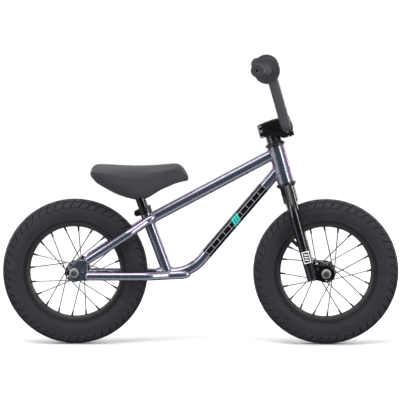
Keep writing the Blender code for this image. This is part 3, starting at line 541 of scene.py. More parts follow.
CROWN_RADIUS = 0.016
LEG_SPREAD = 0.0525
LEG_RADIUS = 0.0113
FORK_OFFSET = 0.032                # the axle, ahead of the steering axis
LUG_RADIUS = 0.0185                # of the dropout plate round the axle

# Gloss black powder coat: deep black with sharp lights.  The powder flows out to a faint
# orange peel, about 3 mm from crest to crest.
powder_black = mottled("gloss_black_powder_coat", ("#0a0a0c", "#101013"), (0.16, 0.22), (0.003, 1),
                       (0.05, 0.0002), {"IOR": 1.52, "Coat Weight": 0.3, "Coat Roughness": 0.06})

FORK_PAINT = (powder_black, "fork", "black_paint")
crown_foot, steerer_top = reach("fork_steerer", steer_foot, steer_up)
crown_top = race_low
steerer = [(STEERER_RADIUS, steerer_top), (STEERER_RADIUS, crown_top + 0.0003),
           (CROWN_RADIUS - 0.0006, crown_top), (CROWN_RADIUS, crown_top - 0.0006),
           (CROWN_RADIUS, crown_foot + 0.0006), (CROWN_RADIUS - 0.0006, crown_foot),
           (0.0112, crown_foot), (0.0108, crown_foot + 0.0004), (0.0108, steerer_top)]
add_piece("painted_fork_steerer", on_steering(steerer), *FORK_PAINT, ["fork_steerer"])

lip = math.degrees(math.asin(AXLE_SLOT / LUG_RADIUS))
fork_plate = [(0.0, 0.0300), (0.0125, 0.0275)]
fork_plate += arc((FORK_OFFSET, 0), LUG_RADIUS, 62, lip - 90, 24)
fork_plate += arc((FORK_OFFSET, 0), AXLE_SLOT, 0, 180, 16)
fork_plate += arc((FORK_OFFSET, 0), LUG_RADIUS, -90 - lip, -118, 6)
fork_plate += [(0.0, -0.0030)]
fork_hole = arc((0.0170, 0.0160), 0.0026, 0, 345, 23)


def leg_radius(route, point):
    """The leg tapers evenly from the crown to the dropout."""
    whole = (route[-1] - route[0]).length
    return LEG_RADIUS * (1.12 - 0.14 * (point - route[0]).length / whole)


leg_routes = {}
for side_name, sign in LEFT_RIGHT:
    leg_top = steer(0.1950, 0, sign * 0.0255)
    leg_route = rounded_path([leg_top, steer(0.1480, 0, sign * LEG_SPREAD),
                              steer(-0.0034, 0, sign * LEG_SPREAD)], [0.060], 20)
    leg_routes[side_name] = leg_route
    leg_radii = [leg_radius(leg_route, point) for point in leg_route]
    foot_rings = [(0.0004, leg_radii[-1] - 0.0002), (0.0006, leg_radii[-1] - 0.0008)]
    longer_route, longer_radii = extended(leg_route, leg_radii, foot_rings)
    inward_rings = [(0.0060, leg_radii[0]), (0.0080, 0.0110)]
    longer_route, longer_radii = extended(longer_route[::-1], longer_radii[::-1], inward_rings)
    leg = sweep(longer_route, longer_radii, 48)
    dropout = plate([fork_plate, fork_hole], PLATE_THICKNESS,
                    steer(0, 0, sign * LEG_SPREAD), steer_ahead, steer_up)
    toward_crown = leg_route[0] - leg_route[1]
    crown_seam = seam(leg_route[1], toward_crown, leg_radii[0], steer_foot, steer_up, CROWN_RADIUS)
    crown_bead = bead(crown_seam, 0.0018)
    add_piece(f"painted_fork_leg_{side_name}", merged([leg, dropout, crown_bead]),
              *FORK_PAINT, [f"fork_leg_{side_name}"], 30)


# ---------------------------------------------------------------- axles and nuts
# Each wheel turns on a stepped steel axle, clamped between the plates by two flanged hexagon
# nuts.  Nuts and axle are zinc plated, and the threads are rolled at 1 mm pitch.

AXLE_RADIUS = 0.005
THREAD_PITCH = 0.001
NUT_FLANGE = 0.0105
NUT_FLATS = 0.015

# Zinc plate on the nuts is pale and soft; the oiled axle is a darker grey.
zinc_steel = bright_steel("zinc_plated_steel", ("#9c9c99", "#b0b0ac"), (0.46, 0.58), 0.002)
axle_steel = bright_steel("oiled_axle_steel", ("#5e5e5c", "#72726f"), (0.5, 0.6), 0.002)


def ring_at(origin, direction, radius, height, flats=0.0, sides=48):
    """A ring of points at a height: round, or six-sided over flats and no wider than radius."""
    across, aside, upright = upright_frame(direction)
    points = []
    for step in range(sides):
        angle = 2 * math.pi * step / sides
        from_flat = (angle + math.pi / 6) % (math.pi / 3) - math.pi / 6
        spread = min(radius, flats / 2 / math.cos(from_flat)) if flats else radius
        points.append(origin + height * upright
                      + spread * (math.cos(angle) * across + math.sin(angle) * aside))
    return points


def flanged_nut(face, outward):
    """A hexagon nut with a round flange; its crown is chamfered and its bore is open."""
    corner = NUT_FLATS / 2 / math.cos(math.pi / 6)
    stations = [(NUT_FLANGE - 0.0003, 0.0, 0), (NUT_FLANGE, 0.0004, 0), (NUT_FLANGE, 0.0013, 0),
                (NUT_FLANGE - 0.0006, 0.0020, 0), (corner + 0.0002, 0.0027, 0),
                (corner, 0.0029, NUT_FLATS), (corner, 0.0074, NUT_FLATS),
                (0.0078, 0.0083, NUT_FLATS), (0.0071, 0.0086, NUT_FLATS), (0.0064, 0.0086, 0),
                (0.0054, 0.0079, 0), (0.0052, 0.0, 0)]
    rings = [ring_at(face, outward, *station) for station in stations]
    return skin(rings, loop=True)


front_axle = Vector(joints["front_wheel_spin"]["pos_m"])
for end, centre, spread, body in (("rear", rear_axle, STAY_SPREAD, "frame"),
                                  ("front", front_axle, LEG_SPREAD, "fork")):
    tip = reach(f"{end}_axle", centre, SIDEWAYS)[1]
    shoulder = spread - PLATE_THICKNESS / 2 - 0.0003
    half = [(AXLE_RADIUS, 0.0330), (0.0080, 0.0330), (0.0080, shoulder), (AXLE_RADIUS, shoulder)]
    threads = int((tip - shoulder - 0.0012) / THREAD_PITCH)
    for turn in range(threads):
        base = shoulder + turn * THREAD_PITCH
        half += [(AXLE_RADIUS, base + 0.0002), (AXLE_RADIUS - 0.0005, base + 0.0006)]
    half += [(AXLE_RADIUS - 0.0003, tip - 0.0008), (AXLE_RADIUS - 0.0009, tip), (0.0012, tip),
             (0.0008, tip - 0.0009)]
    profile = half[::-1] + [(radius, -height) for radius, height in half]
    add_piece(f"{end}_axle_threaded", turned(profile, centre, SIDEWAYS, 40), axle_steel, body,
              "zinc_steel", [f"{end}_axle"])
    for side_name, sign in LEFT_RIGHT:
        node = f"{end}_axle_nut_{side_name}"
        face = centre + sign * (spread + PLATE_THICKNESS / 2 + 0.0003) * SIDEWAYS
        add_piece(f"{node}_flanged", flanged_nut(face, sign * SIDEWAYS), zinc_steel, body,
                  "zinc_steel", [node], 25)


# ---------------------------------------------------------------- tyres and inner tubes
# A wide 12-inch tyre of carbon-black rubber over a nylon casing, moulded in two halves.  The
# side blocks are parted by slanted grooves, each block has a short sipe, and the side wall
# is smooth down to the bead that the rim holds.

TYRE_SECTION = 0.0285              # half the tyre's width
BLOCKS = 50
GROOVE_DEPTH = 0.0026
SIPE_DEPTH = 0.0018
SHOULDER_STEP = 0.0013             # how far the blocks stand above the side wall
SHOULDER_ANGLE = 67                # round the section, from the crown to the blocks' foot
RIB_ANGLE = 8                      # half the unbroken middle rib
SLANT = 6.2                        # degrees round the wheel that a groove leans
TUBE_CASING = 0.0030
BEAD_ROW_ZERO = 0.0170             # what a bead row's distance is at the rim's spoke bed

# Moulded tyre rubber: dark grey and matt, paler where bloom sits on it in soft patches about
# 25 mm across.  The mould's grain, about 0.5 mm, is drawn at 0.8 mm.
tread_rubber = mottled("moulded_tyre_rubber", ("#1b1c20", "#222327"), (0.62, 0.80), (0.025, 3),
                       (0.15, 0.0002), {"IOR": 1.5, "Specular IOR Level": 0.4},
                       ("TexNoise", {"Scale": 1 / 0.0008, "Detail": 2.0}))

# Where the columns of points stand in one block's pitch, the same in each half of it, so
# that the far side's blocks can be half a pitch behind.
half_pitch = (0.0, 0.04, 0.07, 0.18, 0.21, 0.29, 0.32, 0.43, 0.46)
pitch_columns = half_pitch + tuple(place + 0.5 for place in half_pitch)
tread_rows = (0, 4, RIB_ANGLE, RIB_ANGLE + 1.5, 15, 22, 28, 33, 34, 37, 38, 43, 49, 55, 61,
              SHOULDER_ANGLE - 1, SHOULDER_ANGLE + 1)
wall_rows = (74, 80, 86, 92, 98, 104, 110, 115, 119)
# The bead's points: out from the zero of its rows, and off the centre plane.
bead_rows = mm((31.8, 23.6), (30, 20.8), (29, 17.6), (28.6, 15), (28.3, 12.7), (20, 12.2))


def tread_depth(angle, column, side):
    """How deep the mould cuts at a row and a column: a groove, a sipe or nothing."""
    place = (column + (0.5 if side > 0 else 0.0)) % 1.0
    if not RIB_ANGLE + 1 < angle < SHOULDER_ANGLE:
        return 0.0
    if place < 0.05 or place > 0.95:
        return GROOVE_DEPTH
    if 33.5 < angle < 37.5 and 0.20 < place < 0.80:
        return SIPE_DEPTH
    return 0.0


def wheel_point(centre, radius, angle, side):
    """A point on a wheel: the angle is in degrees from straight ahead, upwards at the front."""
    turned_by = math.radians(angle)
    return centre + Vector((radius * math.cos(turned_by), side, radius * math.sin(turned_by)))


def tyre_mesh(centre, bed_radius):
    """The tyre: treaded skin, side walls and beads, closed by the casing inside."""
    ring_radius = centre.z - TYRE_SECTION
    half = [(angle, None) for angle in tread_rows + wall_rows] + [(180, row) for row in bead_rows]
    section = [(-1, *row) for row in half[::-1]] + [(1, *row) for row in half[1:]]
    places = [(block, column) for block in range(BLOCKS) for column in pitch_columns]
    rings = []
    for side, angle, bead_row in section:
        slant = SLANT * (1 - min(angle, SHOULDER_ANGLE) / SHOULDER_ANGLE)
        ring = []
        for block, column in places:
            if bead_row:
                radius = bed_radius + bead_row[0] - BEAD_ROW_ZERO
                aside = side * bead_row[1]
            else:
                wall = SHOULDER_STEP if angle > SHOULDER_ANGLE else 0.0
                thickness = TYRE_SECTION - tread_depth(angle, column, side) - wall
                radius = ring_radius + thickness * math.cos(math.radians(angle))
                aside = side * thickness * math.sin(math.radians(angle))
            ring.append(wheel_point(centre, radius, 360 * (block + column) / BLOCKS - slant, aside))
        rings.append(ring)
    casing = TYRE_SECTION - TUBE_CASING
    for angle in range(110, -111, -20):
        # Near its ends the casing draws in between the beads.
        narrowed = 0.42 if abs(angle) > 103 else 1.0
        radius = ring_radius + casing * math.cos(math.radians(angle))
        aside = casing * math.sin(math.radians(angle)) * narrowed
        rings.append([wheel_point(centre, radius, 360 * (block + column) / BLOCKS, aside)
                      for block, column in places])
    return skin(rings, loop=True)


RIM_BED = 0.0985
# Each wheel's name, centre and body, and where its first right-hand spoke stands, in degrees.
wheel_ends = (("rear", rear_axle, "rear_wheel", 13.7), ("front", front_axle, "front_wheel", 2.1))
for end, centre, body, _ in wheel_ends:
    add_piece(f"{end}_tyre_treaded", tyre_mesh(centre, RIM_BED), tread_rubber,
              body, "tyre_rubber", [f"{end}_tyre"], 28)
    frame["nodes"][f"{end}_inner_tube"].data.materials[0] = tread_rubber


# ---------------------------------------------------------------- rims
# A rolled and pinned aluminium rim, black anodised: a spoke bed, two slanted shoulders and
# the two hooks that hold the tyre's beads.

# Black anodising over a rolled, brushed surface: dark grey, with a wide soft light.  The
# brushing lines, about 0.1 mm apart on the part, are drawn at 0.7 mm.
anodised_rim = mottled("satin_anodised_rim", ("#202022", "#28282a"), (0.44, 0.56), (0.0007, 2),
                       (0.05, 0.0001), {"Specular IOR Level": 0.6})


def mirrored(half):
    """A closed section from its left half, whose ends lie on the centre plane."""
    return half + [(radius, -aside) for radius, aside in half[-2:0:-1]]


rim_half = mm((98.5, 0), (98.5, 7.8), (98.8, 9), (101, 13.8), (101.9, 14.8), (103, 15.1), (110, 15.1),
              (111.2, 14.8), (111.6, 14), (111.3, 13.1), (110, 12.7), (103.5, 12.5), (102.1, 8.5),
              (102, 0))
for end, centre, body, _ in wheel_ends:
    add_piece(f"{end}_rim_anodised", turned(mirrored(rim_half), centre, SIDEWAYS, 180, True),
              anodised_rim, body, "black_alloy", [f"{end}_rim"], 40)


# ---------------------------------------------------------------- spokes and nipples
# Twenty 2.5 mm stainless spokes to a wheel, headed and bent at the hub, laced so that each
# passes two others, and pulled up by black plated brass nipples in the rim.

SPOKE_RADIUS = 0.00125
SPOKES_PER_SIDE = 10
SPOKE_STEP = 360 / SPOKES_PER_SIDE  # degrees from one hole of a flange to the next
HOLE_CIRCLE = 0.0175
FLANGE_OUT = 0.0298                # the flange's outer and inner faces, off the centre plane
FLANGE_IN = 0.0262
NIPPLE_CIRCLE = 0.0975             # where a spoke enters its nipple
NIPPLE_ASIDE = 0.0032              # and how far that is off the centre plane
# Drawn stainless wire: a mid grey with a soft line of light along it.
spoke_steel = bright_steel("drawn_stainless_steel", ("#737476", "#858688"), (0.30, 0.40), 0.0015)

for end, centre, body, phase in wheel_ends:
    for side_name, sign in LEFT_RIGHT:
        first = phase + (0 if sign < 0 else SPOKE_STEP / 2)
        spokes = []
        nipples = []
        for index in range(SPOKES_PER_SIDE):
            sense = 1 if index % 2 == 0 else -1
            rim_angle = first + SPOKE_STEP * index
            hub_angle = rim_angle - sense * 2 * SPOKE_STEP
            face = FLANGE_OUT + 0.0012 if sense > 0 else FLANGE_IN - 0.0012
            back = FLANGE_IN - 0.0005 if sense > 0 else FLANGE_OUT + 0.0005
            head = wheel_point(centre, HOLE_CIRCLE, hub_angle, sign * back)
            elbow = wheel_point(centre, HOLE_CIRCLE, hub_angle, sign * face)
            rim_point = wheel_point(centre, NIPPLE_CIRCLE, rim_angle, sign * NIPPLE_ASIDE)
            route = rounded_path([head, elbow, rim_point], [0.0014], 6)
            radii = [SPOKE_RADIUS] * len(route)
            flat_head = mm((0.1, 1.9), (0.5, 1.9), (0.9, 1.2))
            route, radii = extended(route[::-1], radii[::-1], flat_head)
            spokes.append(sweep(route, radii, 10))
            inward = (elbow - rim_point).normalized()
            profile = mm((2.6, -1), (2.6, 0.6), (2.1, 1.2), (2, 8.5), (1.7, 9.2), (1.1, 9.4))
            nipples.append(turned(profile, rim_point, inward, 14))
        add_piece(f"{end}_spoke_set_{side_name}", merged(spokes), spoke_steel, body,
                  "spoke_steel", [f"{end}_spokes_{side_name}"])
        add_piece(f"{end}_nipples_{side_name}", merged(nipples), anodised_black, body,
                  "black_alloy")


# ---------------------------------------------------------------- hubs
# A turned and drilled aluminium shell, black anodised, on two sealed bearings: a waisted
# barrel between two flanges.

def carved(mesh, cutters, joined=()):
    """A mesh with other shapes joined on, and then cutters taken out of it."""
    blank = bpy.data.objects.new("blank", mesh)
    bpy.context.scene.collection.objects.link(blank)
    helpers = [blank]
    for operation, shapes in (("UNION", joined), ("DIFFERENCE", cutters)):
        for shape in shapes:
            tool = bpy.data.objects.new("tool", shape)
            bpy.context.scene.collection.objects.link(tool)
            helpers.append(tool)
            cut = blank.modifiers.new("cut", "BOOLEAN")
            cut.operation = operation
            cut.solver = "EXACT"
            cut.object = tool
    graph = bpy.context.evaluated_depsgraph_get()
    result = bpy.data.meshes.new_from_object(blank.evaluated_get(graph))
    for helper in helpers:
        bpy.data.objects.remove(helper, do_unlink=True)
    return result


BARREL_END = 0.0330                # half the hub's length
hub_half = [(0.0118, 0.0), (0.0118, 0.0120), (0.0126, 0.0200), (0.0140, 0.0245), (0.0160, 0.0256),
            (0.0203, FLANGE_IN), (0.0211, 0.0266), (0.0214, 0.0274), (0.0214, 0.0288), (0.0210, 0.0295),
            (0.0203, FLANGE_OUT), (0.0160, 0.0300), (0.0150, 0.0312), (0.0149, BARREL_END - 0.0004),
            (0.0146, BARREL_END), (0.0120, BARREL_END), (0.0120, 0.0250), (0.0080, 0.0250), (0.0080, 0.0)]
for end, centre, body, phase in wheel_ends:
    shell = turned(mirrored(hub_half), centre, SIDEWAYS, 64, True)
    holes = []
    for side_name, sign in LEFT_RIGHT:
        first = phase + (0 if sign < 0 else SPOKE_STEP / 2)
        for index in range(SPOKES_PER_SIDE):
            angle = first + SPOKE_STEP * (index + 0.5)
            inner_end = wheel_point(centre, HOLE_CIRCLE + 0.0004, angle, sign * 0.0235)
            holes.append(turned(mm((1.6, 0), (1.6, 8.5)), inner_end, sign * SIDEWAYS, 12))
    drilled = carved(shell, [merged(holes)])
    add_piece(f"{end}_hub_drilled", drilled, anodised_black, body, "black_alloy", [f"{end}_hub_shell"], 30)
    for side_name, _ in LEFT_RIGHT:
        frame["nodes"][f"{end}_hub_bearing_{side_name}"].data.materials[0] = race_steel


# ---------------------------------------------------------------- stem
# A forged and machined aluminium block, black anodised: bored for the steerer, slit at the
# back and pinched by two screws, with a front plate that four screws draw onto the bar.

STEM_HALF = 0.023
SCREW_HEAD = 0.0043
FACE_BOLT_SPREAD = 0.0160
bar_clamp = Vector(joints["bar_tilt"]["pos_m"])


def rod(start, end, radius, sides=32):
    """A plain rod between two points, used as a drill."""
    return turned([(radius, 0), (radius, (end - start).length)], start, end - start, sides)


def socket_screw(top, outward, head, flats, length, shank=0.0025):
    """A cap screw with a hexagon socket; head is (radius, height), and top is its top."""
    radius, height = head
    stations = [(shank, -length, 0), (shank, -height, 0), (radius, -height, 0), (radius, -0.0005, 0),
                (radius - 0.0005, 0.0, 0), (flats * 0.62, 0.0, 0), (flats, -0.0002, flats),
                (flats, -height * 0.6, flats)]
    rings = [ring_at(top, outward, *station) for station in stations]
    return skin(rings)


def stem_plate(outline, thickness, edge, side=0.0):
    """A flat piece of the stem, its outline ahead of and along the steering axis."""
    return plate([outline], thickness, steer(0, 0, side), steer_ahead, steer_up, edge)


stem_outline = mm((-27.5, 320), (-26.5, 319), (8, 319), (19, 307.6), (21.5, 306.5), (32.5, 306.5),
                  (32.5, 349), (23, 349.9), (8, 350.1), (-8, 349.1), (-26.5, 345.9), (-27.5, 345))
block = stem_plate(stem_outline, 2 * STEM_HALF, 0.0014)
flare = mm((13.4, -24.2), (11.4, -22.1), (11.4, 22.1), (13.4, 24.2))
cutters = [turned(flare, bar_clamp, SIDEWAYS, 64),
           rod(steer(0.31), steer(0.36), STEERER_RADIUS + 0.0003, 48),
           rod(steer(0.30), steer(0.3190), 0.0162, 48),
           rod(steer(0.3445), steer(0.36), 0.0155, 48)]
slit_outline = mm((-30, 310), (-10, 310), (-10, 360), (-30, 360))
cutters.append(stem_plate(slit_outline, 0.003, 0.0002))
PINCH_AHEAD = -0.0215              # the pinch screws, behind the steering axis
PINCH_UPPER = 0.3395               # and along it
PINCH_LOWER = 0.3270
for level_name, along, sign in (("upper", PINCH_UPPER, 1), ("lower", PINCH_LOWER, -1)):
    node = f"stem_pinch_bolt_{level_name}"
    head_top = steer(along, PINCH_AHEAD, sign * (STEM_HALF + 0.0008))
    cutters.append(rod(head_top - sign * 0.0500 * SIDEWAYS, head_top, 0.0031))
    cutters.append(rod(head_top - sign * 0.0051 * SIDEWAYS, head_top + sign * 0.01 * SIDEWAYS, 0.0048))
    screw = socket_screw(head_top, sign * SIDEWAYS, (0.0044, 0.0048), 0.0040, 0.0430)
    add_piece(f"{node}_socket", screw, *FORK_PAINT, [node], 30)

face_outline = mm((34, 306), (38.5, 306), (39.7, 306.6), (42.5, 313), (46.6, 320.5), (47.5, 324),
                  (47.7, 328.3), (47.5, 332.5), (46.6, 336), (42.5, 343), (39.7, 349.4), (38.5, 350),
                  (34, 350))
face = stem_plate(face_outline, 2 * STEM_HALF, 0.0012)
face_cutters = [turned(flare, bar_clamp, SIDEWAYS, 64)]
for level_name, along in (("upper", 0.3447), ("lower", 0.3110)):
    for side_name, sign in LEFT_RIGHT:
        node = f"face_bolt_{level_name}_{side_name}"
        head_top = steer(along, 0.0455, sign * FACE_BOLT_SPREAD)
        screw = socket_screw(head_top, steer_ahead, (SCREW_HEAD, 0.0050), 0.0040, 0.0285)
        add_piece(f"{node}_socket", screw, *FORK_PAINT, [node], 30)
        drill_end = steer(along, 0.0150, sign * FACE_BOLT_SPREAD)
        cutters.append(rod(drill_end, head_top, 0.0030))
        face_cutters.append(rod(drill_end, head_top, 0.0030))
        face_cutters.append(rod(steer(along, 0.0402, sign * FACE_BOLT_SPREAD),
                                steer(along, 0.0550, sign * FACE_BOLT_SPREAD), 0.0047))
add_piece("stem_body_machined", carved(block, cutters), *FORK_ALLOY, ["stem_body"], 30)
add_piece("stem_face_plate_machined", carved(face, face_cutters), *FORK_ALLOY, ["stem_face_plate"], 30)

# A thin pale grey metal sheet where the pinch screws sit is a painted highlight for the light on
# that side of the stem. The real chamfer round the bar is coloured pale lavender grey as a painted
# highlight.
pinch_side_highlight = bright_steel("painted_highlight_grey_metal", ("#9a9aa0", "#a8a8ae"), (0.62, 0.72), 0.001)
chamfer_highlight_metal = bright_steel("chamfer_painted_highlight", ("#bab7c8", "#c8c5d4"), (0.55, 0.65), 0.001)
pad_outline = mm((-26.8, 320), (-18.8, 320), (-18.8, 346.8), (-26.2, 345.2), (-26.8, 344.6))
for side_name, sign in LEFT_RIGHT:
    pad = stem_plate(pad_outline, 0.0004, 0.00005, sign * STEM_HALF)
    holes = [rod(steer(along, PINCH_AHEAD, sign * 0.020), steer(along, PINCH_AHEAD, sign * 0.026), radius)
             for along, radius in ((PINCH_UPPER, 0.0048 if sign > 0 else 0.0031),
                                   (PINCH_LOWER, 0.0031 if sign > 0 else 0.0048))]
    add_piece(f"stem_pinch_highlight_sheet_{side_name}", carved(pad, holes), pinch_side_highlight, "fork", "black_alloy")
    # The chamfer's shape is real; its pale lavender grey colour is a painted highlight.
    rings = []
    for step in range(17):
        turn = math.radians(-64 + 7 * step)
        reach_out = math.cos(turn) * steer_ahead + math.sin(turn) * steer_up
        rings.append([bar_clamp + radius * reach_out + sign * aside * SIDEWAYS
                      for radius, aside in mm((11.65, 21.9), (14.4, 23.1), (14.4, 23.45), (11.65, 22.4))])
    add_piece(f"stem_bar_chamfer_{side_name}", skin(rings), chamfer_highlight_metal, "fork", "black_alloy")

cap = mm((14.4, 347.8), (15, 347.2), (15, 344.8), (3.3, 344.8), (3.3, 347.8))
add_piece("stem_top_cap_turned", on_steering(cap), *FORK_ALLOY, ["stem_top_cap"])
add_piece("top_cap_bolt_socket",
          socket_screw(steer(0.3500), steer_up, (0.0050, 0.0018), 0.0045, 0.0330, 0.0027),
          *FORK_PAINT, ["top_cap_bolt"], 30)
frame["nodes"]["star_nut"].data.materials[0] = race_steel


# ---------------------------------------------------------------- handlebar
# One steel tube bent to a high rise, with a thinner crossbar welded between its risers, and
# powder coated satin black.

BAR_RADIUS = 0.0111
CROSSBAR_RADIUS = 0.0080
CROSSBAR_SHARE = 0.72              # how far up the riser the crossbar sits

# Satin black powder coat: a soft charcoal grey with broad lights.  The coat's texture, about
# 0.3 mm from crest to crest, is drawn at 1 mm.
powder_satin = mottled("satin_black_powder_coat", ("#343436", "#3c3c3e"), (0.42, 0.55), (0.001, 2),
                       (0.10, 0.0001), {"IOR": 1.5})


def bar_corners(sign):
    """The corners of one half of the bar, from its clamp to its end."""
    offsets = mm((0, 0, 0), (0, 50, 0), (-30.5, 86, 107), (-38.7, 106, 124.4), (-62.4, 231, 128.7))
    return [bar_clamp + Vector((ahead, sign * aside, up)) for ahead, aside, up in offsets]


right_bar = bar_corners(-1)
left_bar = bar_corners(1)
bar_route = rounded_path(right_bar[:0:-1] + left_bar[1:], [0.034, 0.038, 0.030, 0.030, 0.038, 0.034], 16)
bar_tube = sweep(bar_route, [BAR_RADIUS] * len(bar_route), 44)
cross_ends = [corners[1].lerp(corners[2], CROSSBAR_SHARE) for corners in (right_bar, left_bar)]
crossbar = sweep(cross_ends, [CROSSBAR_RADIUS] * 2, 36)
cross_middle = (cross_ends[0] + cross_ends[1]) / 2
bar_beads = []
for corners, end_point in ((right_bar, cross_ends[0]), (left_bar, cross_ends[1])):
    riser = corners[2] - corners[1]
    joint = seam(cross_middle, end_point - cross_middle, CROSSBAR_RADIUS, corners[1], riser, BAR_RADIUS, 90)
    bar_beads.append(bead(joint, 0.0017))
add_piece("handlebar_coated", merged([bar_tube, crossbar, *bar_beads]), powder_satin, "handlebar",
          "bar_paint", ["handlebar"])


# ---------------------------------------------------------------- grips
# Moulded soft rubber sleeves, pushed onto the bar: fine rings to hold by, a wide round
# guard at the inner end and a closed, vented cap at the outer one.

GRIP_LENGTH = 0.1140
GRIP_RADIUS = 0.0142
GUARD_RADIUS = 0.0283
CAP_REACH = 0.0050
RING_PITCH = 0.0038

# Moulded grip rubber: charcoal and quite matt, with a faint 4 mm mottle from the mould.  Its
# grain, about 0.3 mm, is drawn at 0.7 mm.
soft_rubber = mottled("moulded_grip_rubber", ("#242528", "#2b2c2f"), (0.55, 0.70), (0.004, 3),
                      (0.15, 0.0001), {"IOR": 1.5}, ("TexNoise", {"Scale": 1 / 0.0007, "Detail": 1.0}))
for side_name, corners in (("left", left_bar), ("right", right_bar)):
    inner, outer = corners[3:]
    low = CAP_REACH - GRIP_LENGTH
    profile = [(0.0030, CAP_REACH - 0.0013), (0.0042, CAP_REACH - 0.0011), (0.0085, CAP_REACH - 0.0003),
               (0.0112, CAP_REACH), (0.0130, CAP_REACH - 0.0006), (0.0139, CAP_REACH - 0.0018),
               (GRIP_RADIUS, CAP_REACH - 0.0035), (GRIP_RADIUS, CAP_REACH - 0.0130)]
    first_ring = CAP_REACH - 0.0150
    for ring in range(int((first_ring - (low + 0.0140)) / RING_PITCH)):
        height = first_ring - ring * RING_PITCH
        profile += [(GRIP_RADIUS - 0.0009, height), (GRIP_RADIUS - 0.0009, height - 0.0012),
                    (GRIP_RADIUS, height - 0.0017), (GRIP_RADIUS, height - RING_PITCH + 0.0005)]
    profile += [(GRIP_RADIUS + 0.0002, low + 0.0120), (0.0150, low + 0.0085), (0.0163, low + 0.0068),
                (0.0185, low + 0.0060), (0.0205, low + 0.0058), (0.0210, low + 0.0050),
                (0.0262, low + 0.0044), (0.0276, low + 0.0036), (GUARD_RADIUS, low + 0.0024),
                (0.0279, low + 0.0008), (0.0266, low), (0.0114, low), (0.0114, 0.0), (0.0030, 0.0)]
    add_piece(f"grip_{side_name}_ribbed", turned(profile, outer, outer - inner, 72, True),
              soft_rubber, "handlebar", "grip_rubber", [f"grip_{side_name}"], 40)


# ---------------------------------------------------------------- seat post and clamp
# A gloss black steel post slides in the seat tube.  A machined collar with a slit at the
# back is pinched round the tube's top by one screw.

POST_RADIUS = 0.0107
COLLAR_RADIUS = 0.0155
COLLAR_HEIGHT = 0.0147

post_foot, post_top = reach("seat_post", seat(0), seat_up)
post = [(POST_RADIUS, post_foot), (POST_RADIUS, post_top - 0.0005), (POST_RADIUS - 0.0005, post_top),
        (POST_RADIUS - 0.0018, post_top), (POST_RADIUS - 0.0018, post_foot)]
add_piece("seat_post_coated", turned(post, seat(0), seat_up, loop=True), powder_black, "seat",
          "black_paint", ["seat_post"])

collar_low = seat_tube_top - COLLAR_HEIGHT
collar_bore = SEAT_TUBE_RADIUS + 0.0003
collar_lip = COLLAR_RADIUS + 0.0008
collar_profile = [(COLLAR_RADIUS - 0.0006, collar_low), (COLLAR_RADIUS, collar_low + 0.0006),
                  (COLLAR_RADIUS, seat_tube_top - 0.0045), (collar_lip, seat_tube_top - 0.0038),
                  (collar_lip, seat_tube_top - 0.0005), (COLLAR_RADIUS, seat_tube_top),
                  (collar_bore, seat_tube_top), (collar_bore, collar_low)]
collar = turned(collar_profile, seat(0), seat_up, 64, True)
behind = Vector((-seat_up.z, 0, seat_up.x))
ear_outline = [(0.0132, collar_low + 0.0010), (0.0200, collar_low + 0.0010), (0.0226, collar_low + 0.0025),
               (0.0235, collar_low + 0.0055), (0.0235, seat_tube_top - 0.0055),
               (0.0226, seat_tube_top - 0.0025), (0.0200, seat_tube_top - 0.0010),
               (0.0132, seat_tube_top - 0.0010)]
ears = plate([ear_outline], 0.018, seat(0), behind, seat_up, 0.0010)
slit_outline = [(0.0050, collar_low - 0.01), (0.0300, collar_low - 0.01), (0.0300, collar_low + 0.03),
                (0.0050, collar_low + 0.03)]
slit = plate([slit_outline], 0.0025, seat(0), behind, seat_up, 0.0002)
pinch = seat(seat_tube_top - 0.0075) + 0.0190 * behind
drill = rod(pinch - 0.02 * SIDEWAYS, pinch + 0.02 * SIDEWAYS, 0.0028)
clear = rod(seat(collar_low - 0.01), seat(seat_tube_top + 0.01), collar_bore, 64)
add_piece("seat_clamp_machined", carved(collar, [slit, drill, clear], [ears]), anodised_black,
          "frame", "black_alloy", ["seat_clamp"], 30)
add_piece("seat_clamp_bolt_socket",
          socket_screw(pinch - 0.0138 * SIDEWAYS, -SIDEWAYS, (0.0046, 0.0045), 0.0040, 0.0240),
          powder_black, "frame", "black_paint", ["seat_clamp_bolt"], 30)


# ---------------------------------------------------------------- saddle
# A child's saddle moulded in one: soft polyurethane foam with a tough matt skin, on a hidden
# nylon base that is bolted to the post.  It is wide at the back and narrow at the nose, and
# its keel runs down to the post.

WAIST = 0.34                       # where it is widest, as a share of the way down
UPPER_FULLNESS = 2.0               # exponents of the section's upper and lower curves
LOWER_FULLNESS = 1.5

# Polyurethane skin: charcoal and matt, with a fine leather grain from the mould.  The
# pebbles, about 0.9 mm across, are drawn at 1.2 mm.
hide = mottled("moulded_polyurethane_skin", ("#2e2f32", "#343538"), (0.46, 0.56), (0.03, 2), (0.12, 0.0002),
               {"IOR": 1.46, "Sheen Weight": 0.05, "Sheen Roughness": 0.5},
               ("TexVoronoi", {"feature": "SMOOTH_F1", "Scale": 1 / 0.0012}))

# Ahead of the tail, then the top's and the underside's depth below the highest point, and
# half the width.
saddle_stations = mm((0, 20.5, 24.5, 12), (0.4, 17.5, 27.5, 26), (2.2, 11, 31.5, 37), (7, 5.8, 37.5, 45),
                     (14.5, 2.7, 44.6, 51), (34, 2.5, 56.2, 56), (57, 3.7, 68, 55), (80, 4.6, 75.7, 48),
                     (101, 5, 80, 40), (120, 4.6, 77.5, 34), (136.5, 3.9, 68.5, 30),
                     (153, 2.6, 58.4, 27), (171.5, 1, 50.1, 25), (183, 0.3, 45.2, 23.5),
                     (192, 2, 42.4, 21.5), (201, 8.5, 40, 18), (207, 17, 38.8, 14),
                     (211, 24.5, 37.5, 9.5), (212.7, 29.5, 35, 4.5))


def eased(before, near, far, after, share):
    """A smooth value between near and far, given its neighbours on both sides."""
    slope_near = (far - before) / 2
    slope_far = (after - near) / 2
    square = share * share
    cube = square * share
    return ((2 * cube - 3 * square + 1) * near + (cube - 2 * square + share) * slope_near
            + (3 * square - 2 * cube) * far + (cube - square) * slope_far)


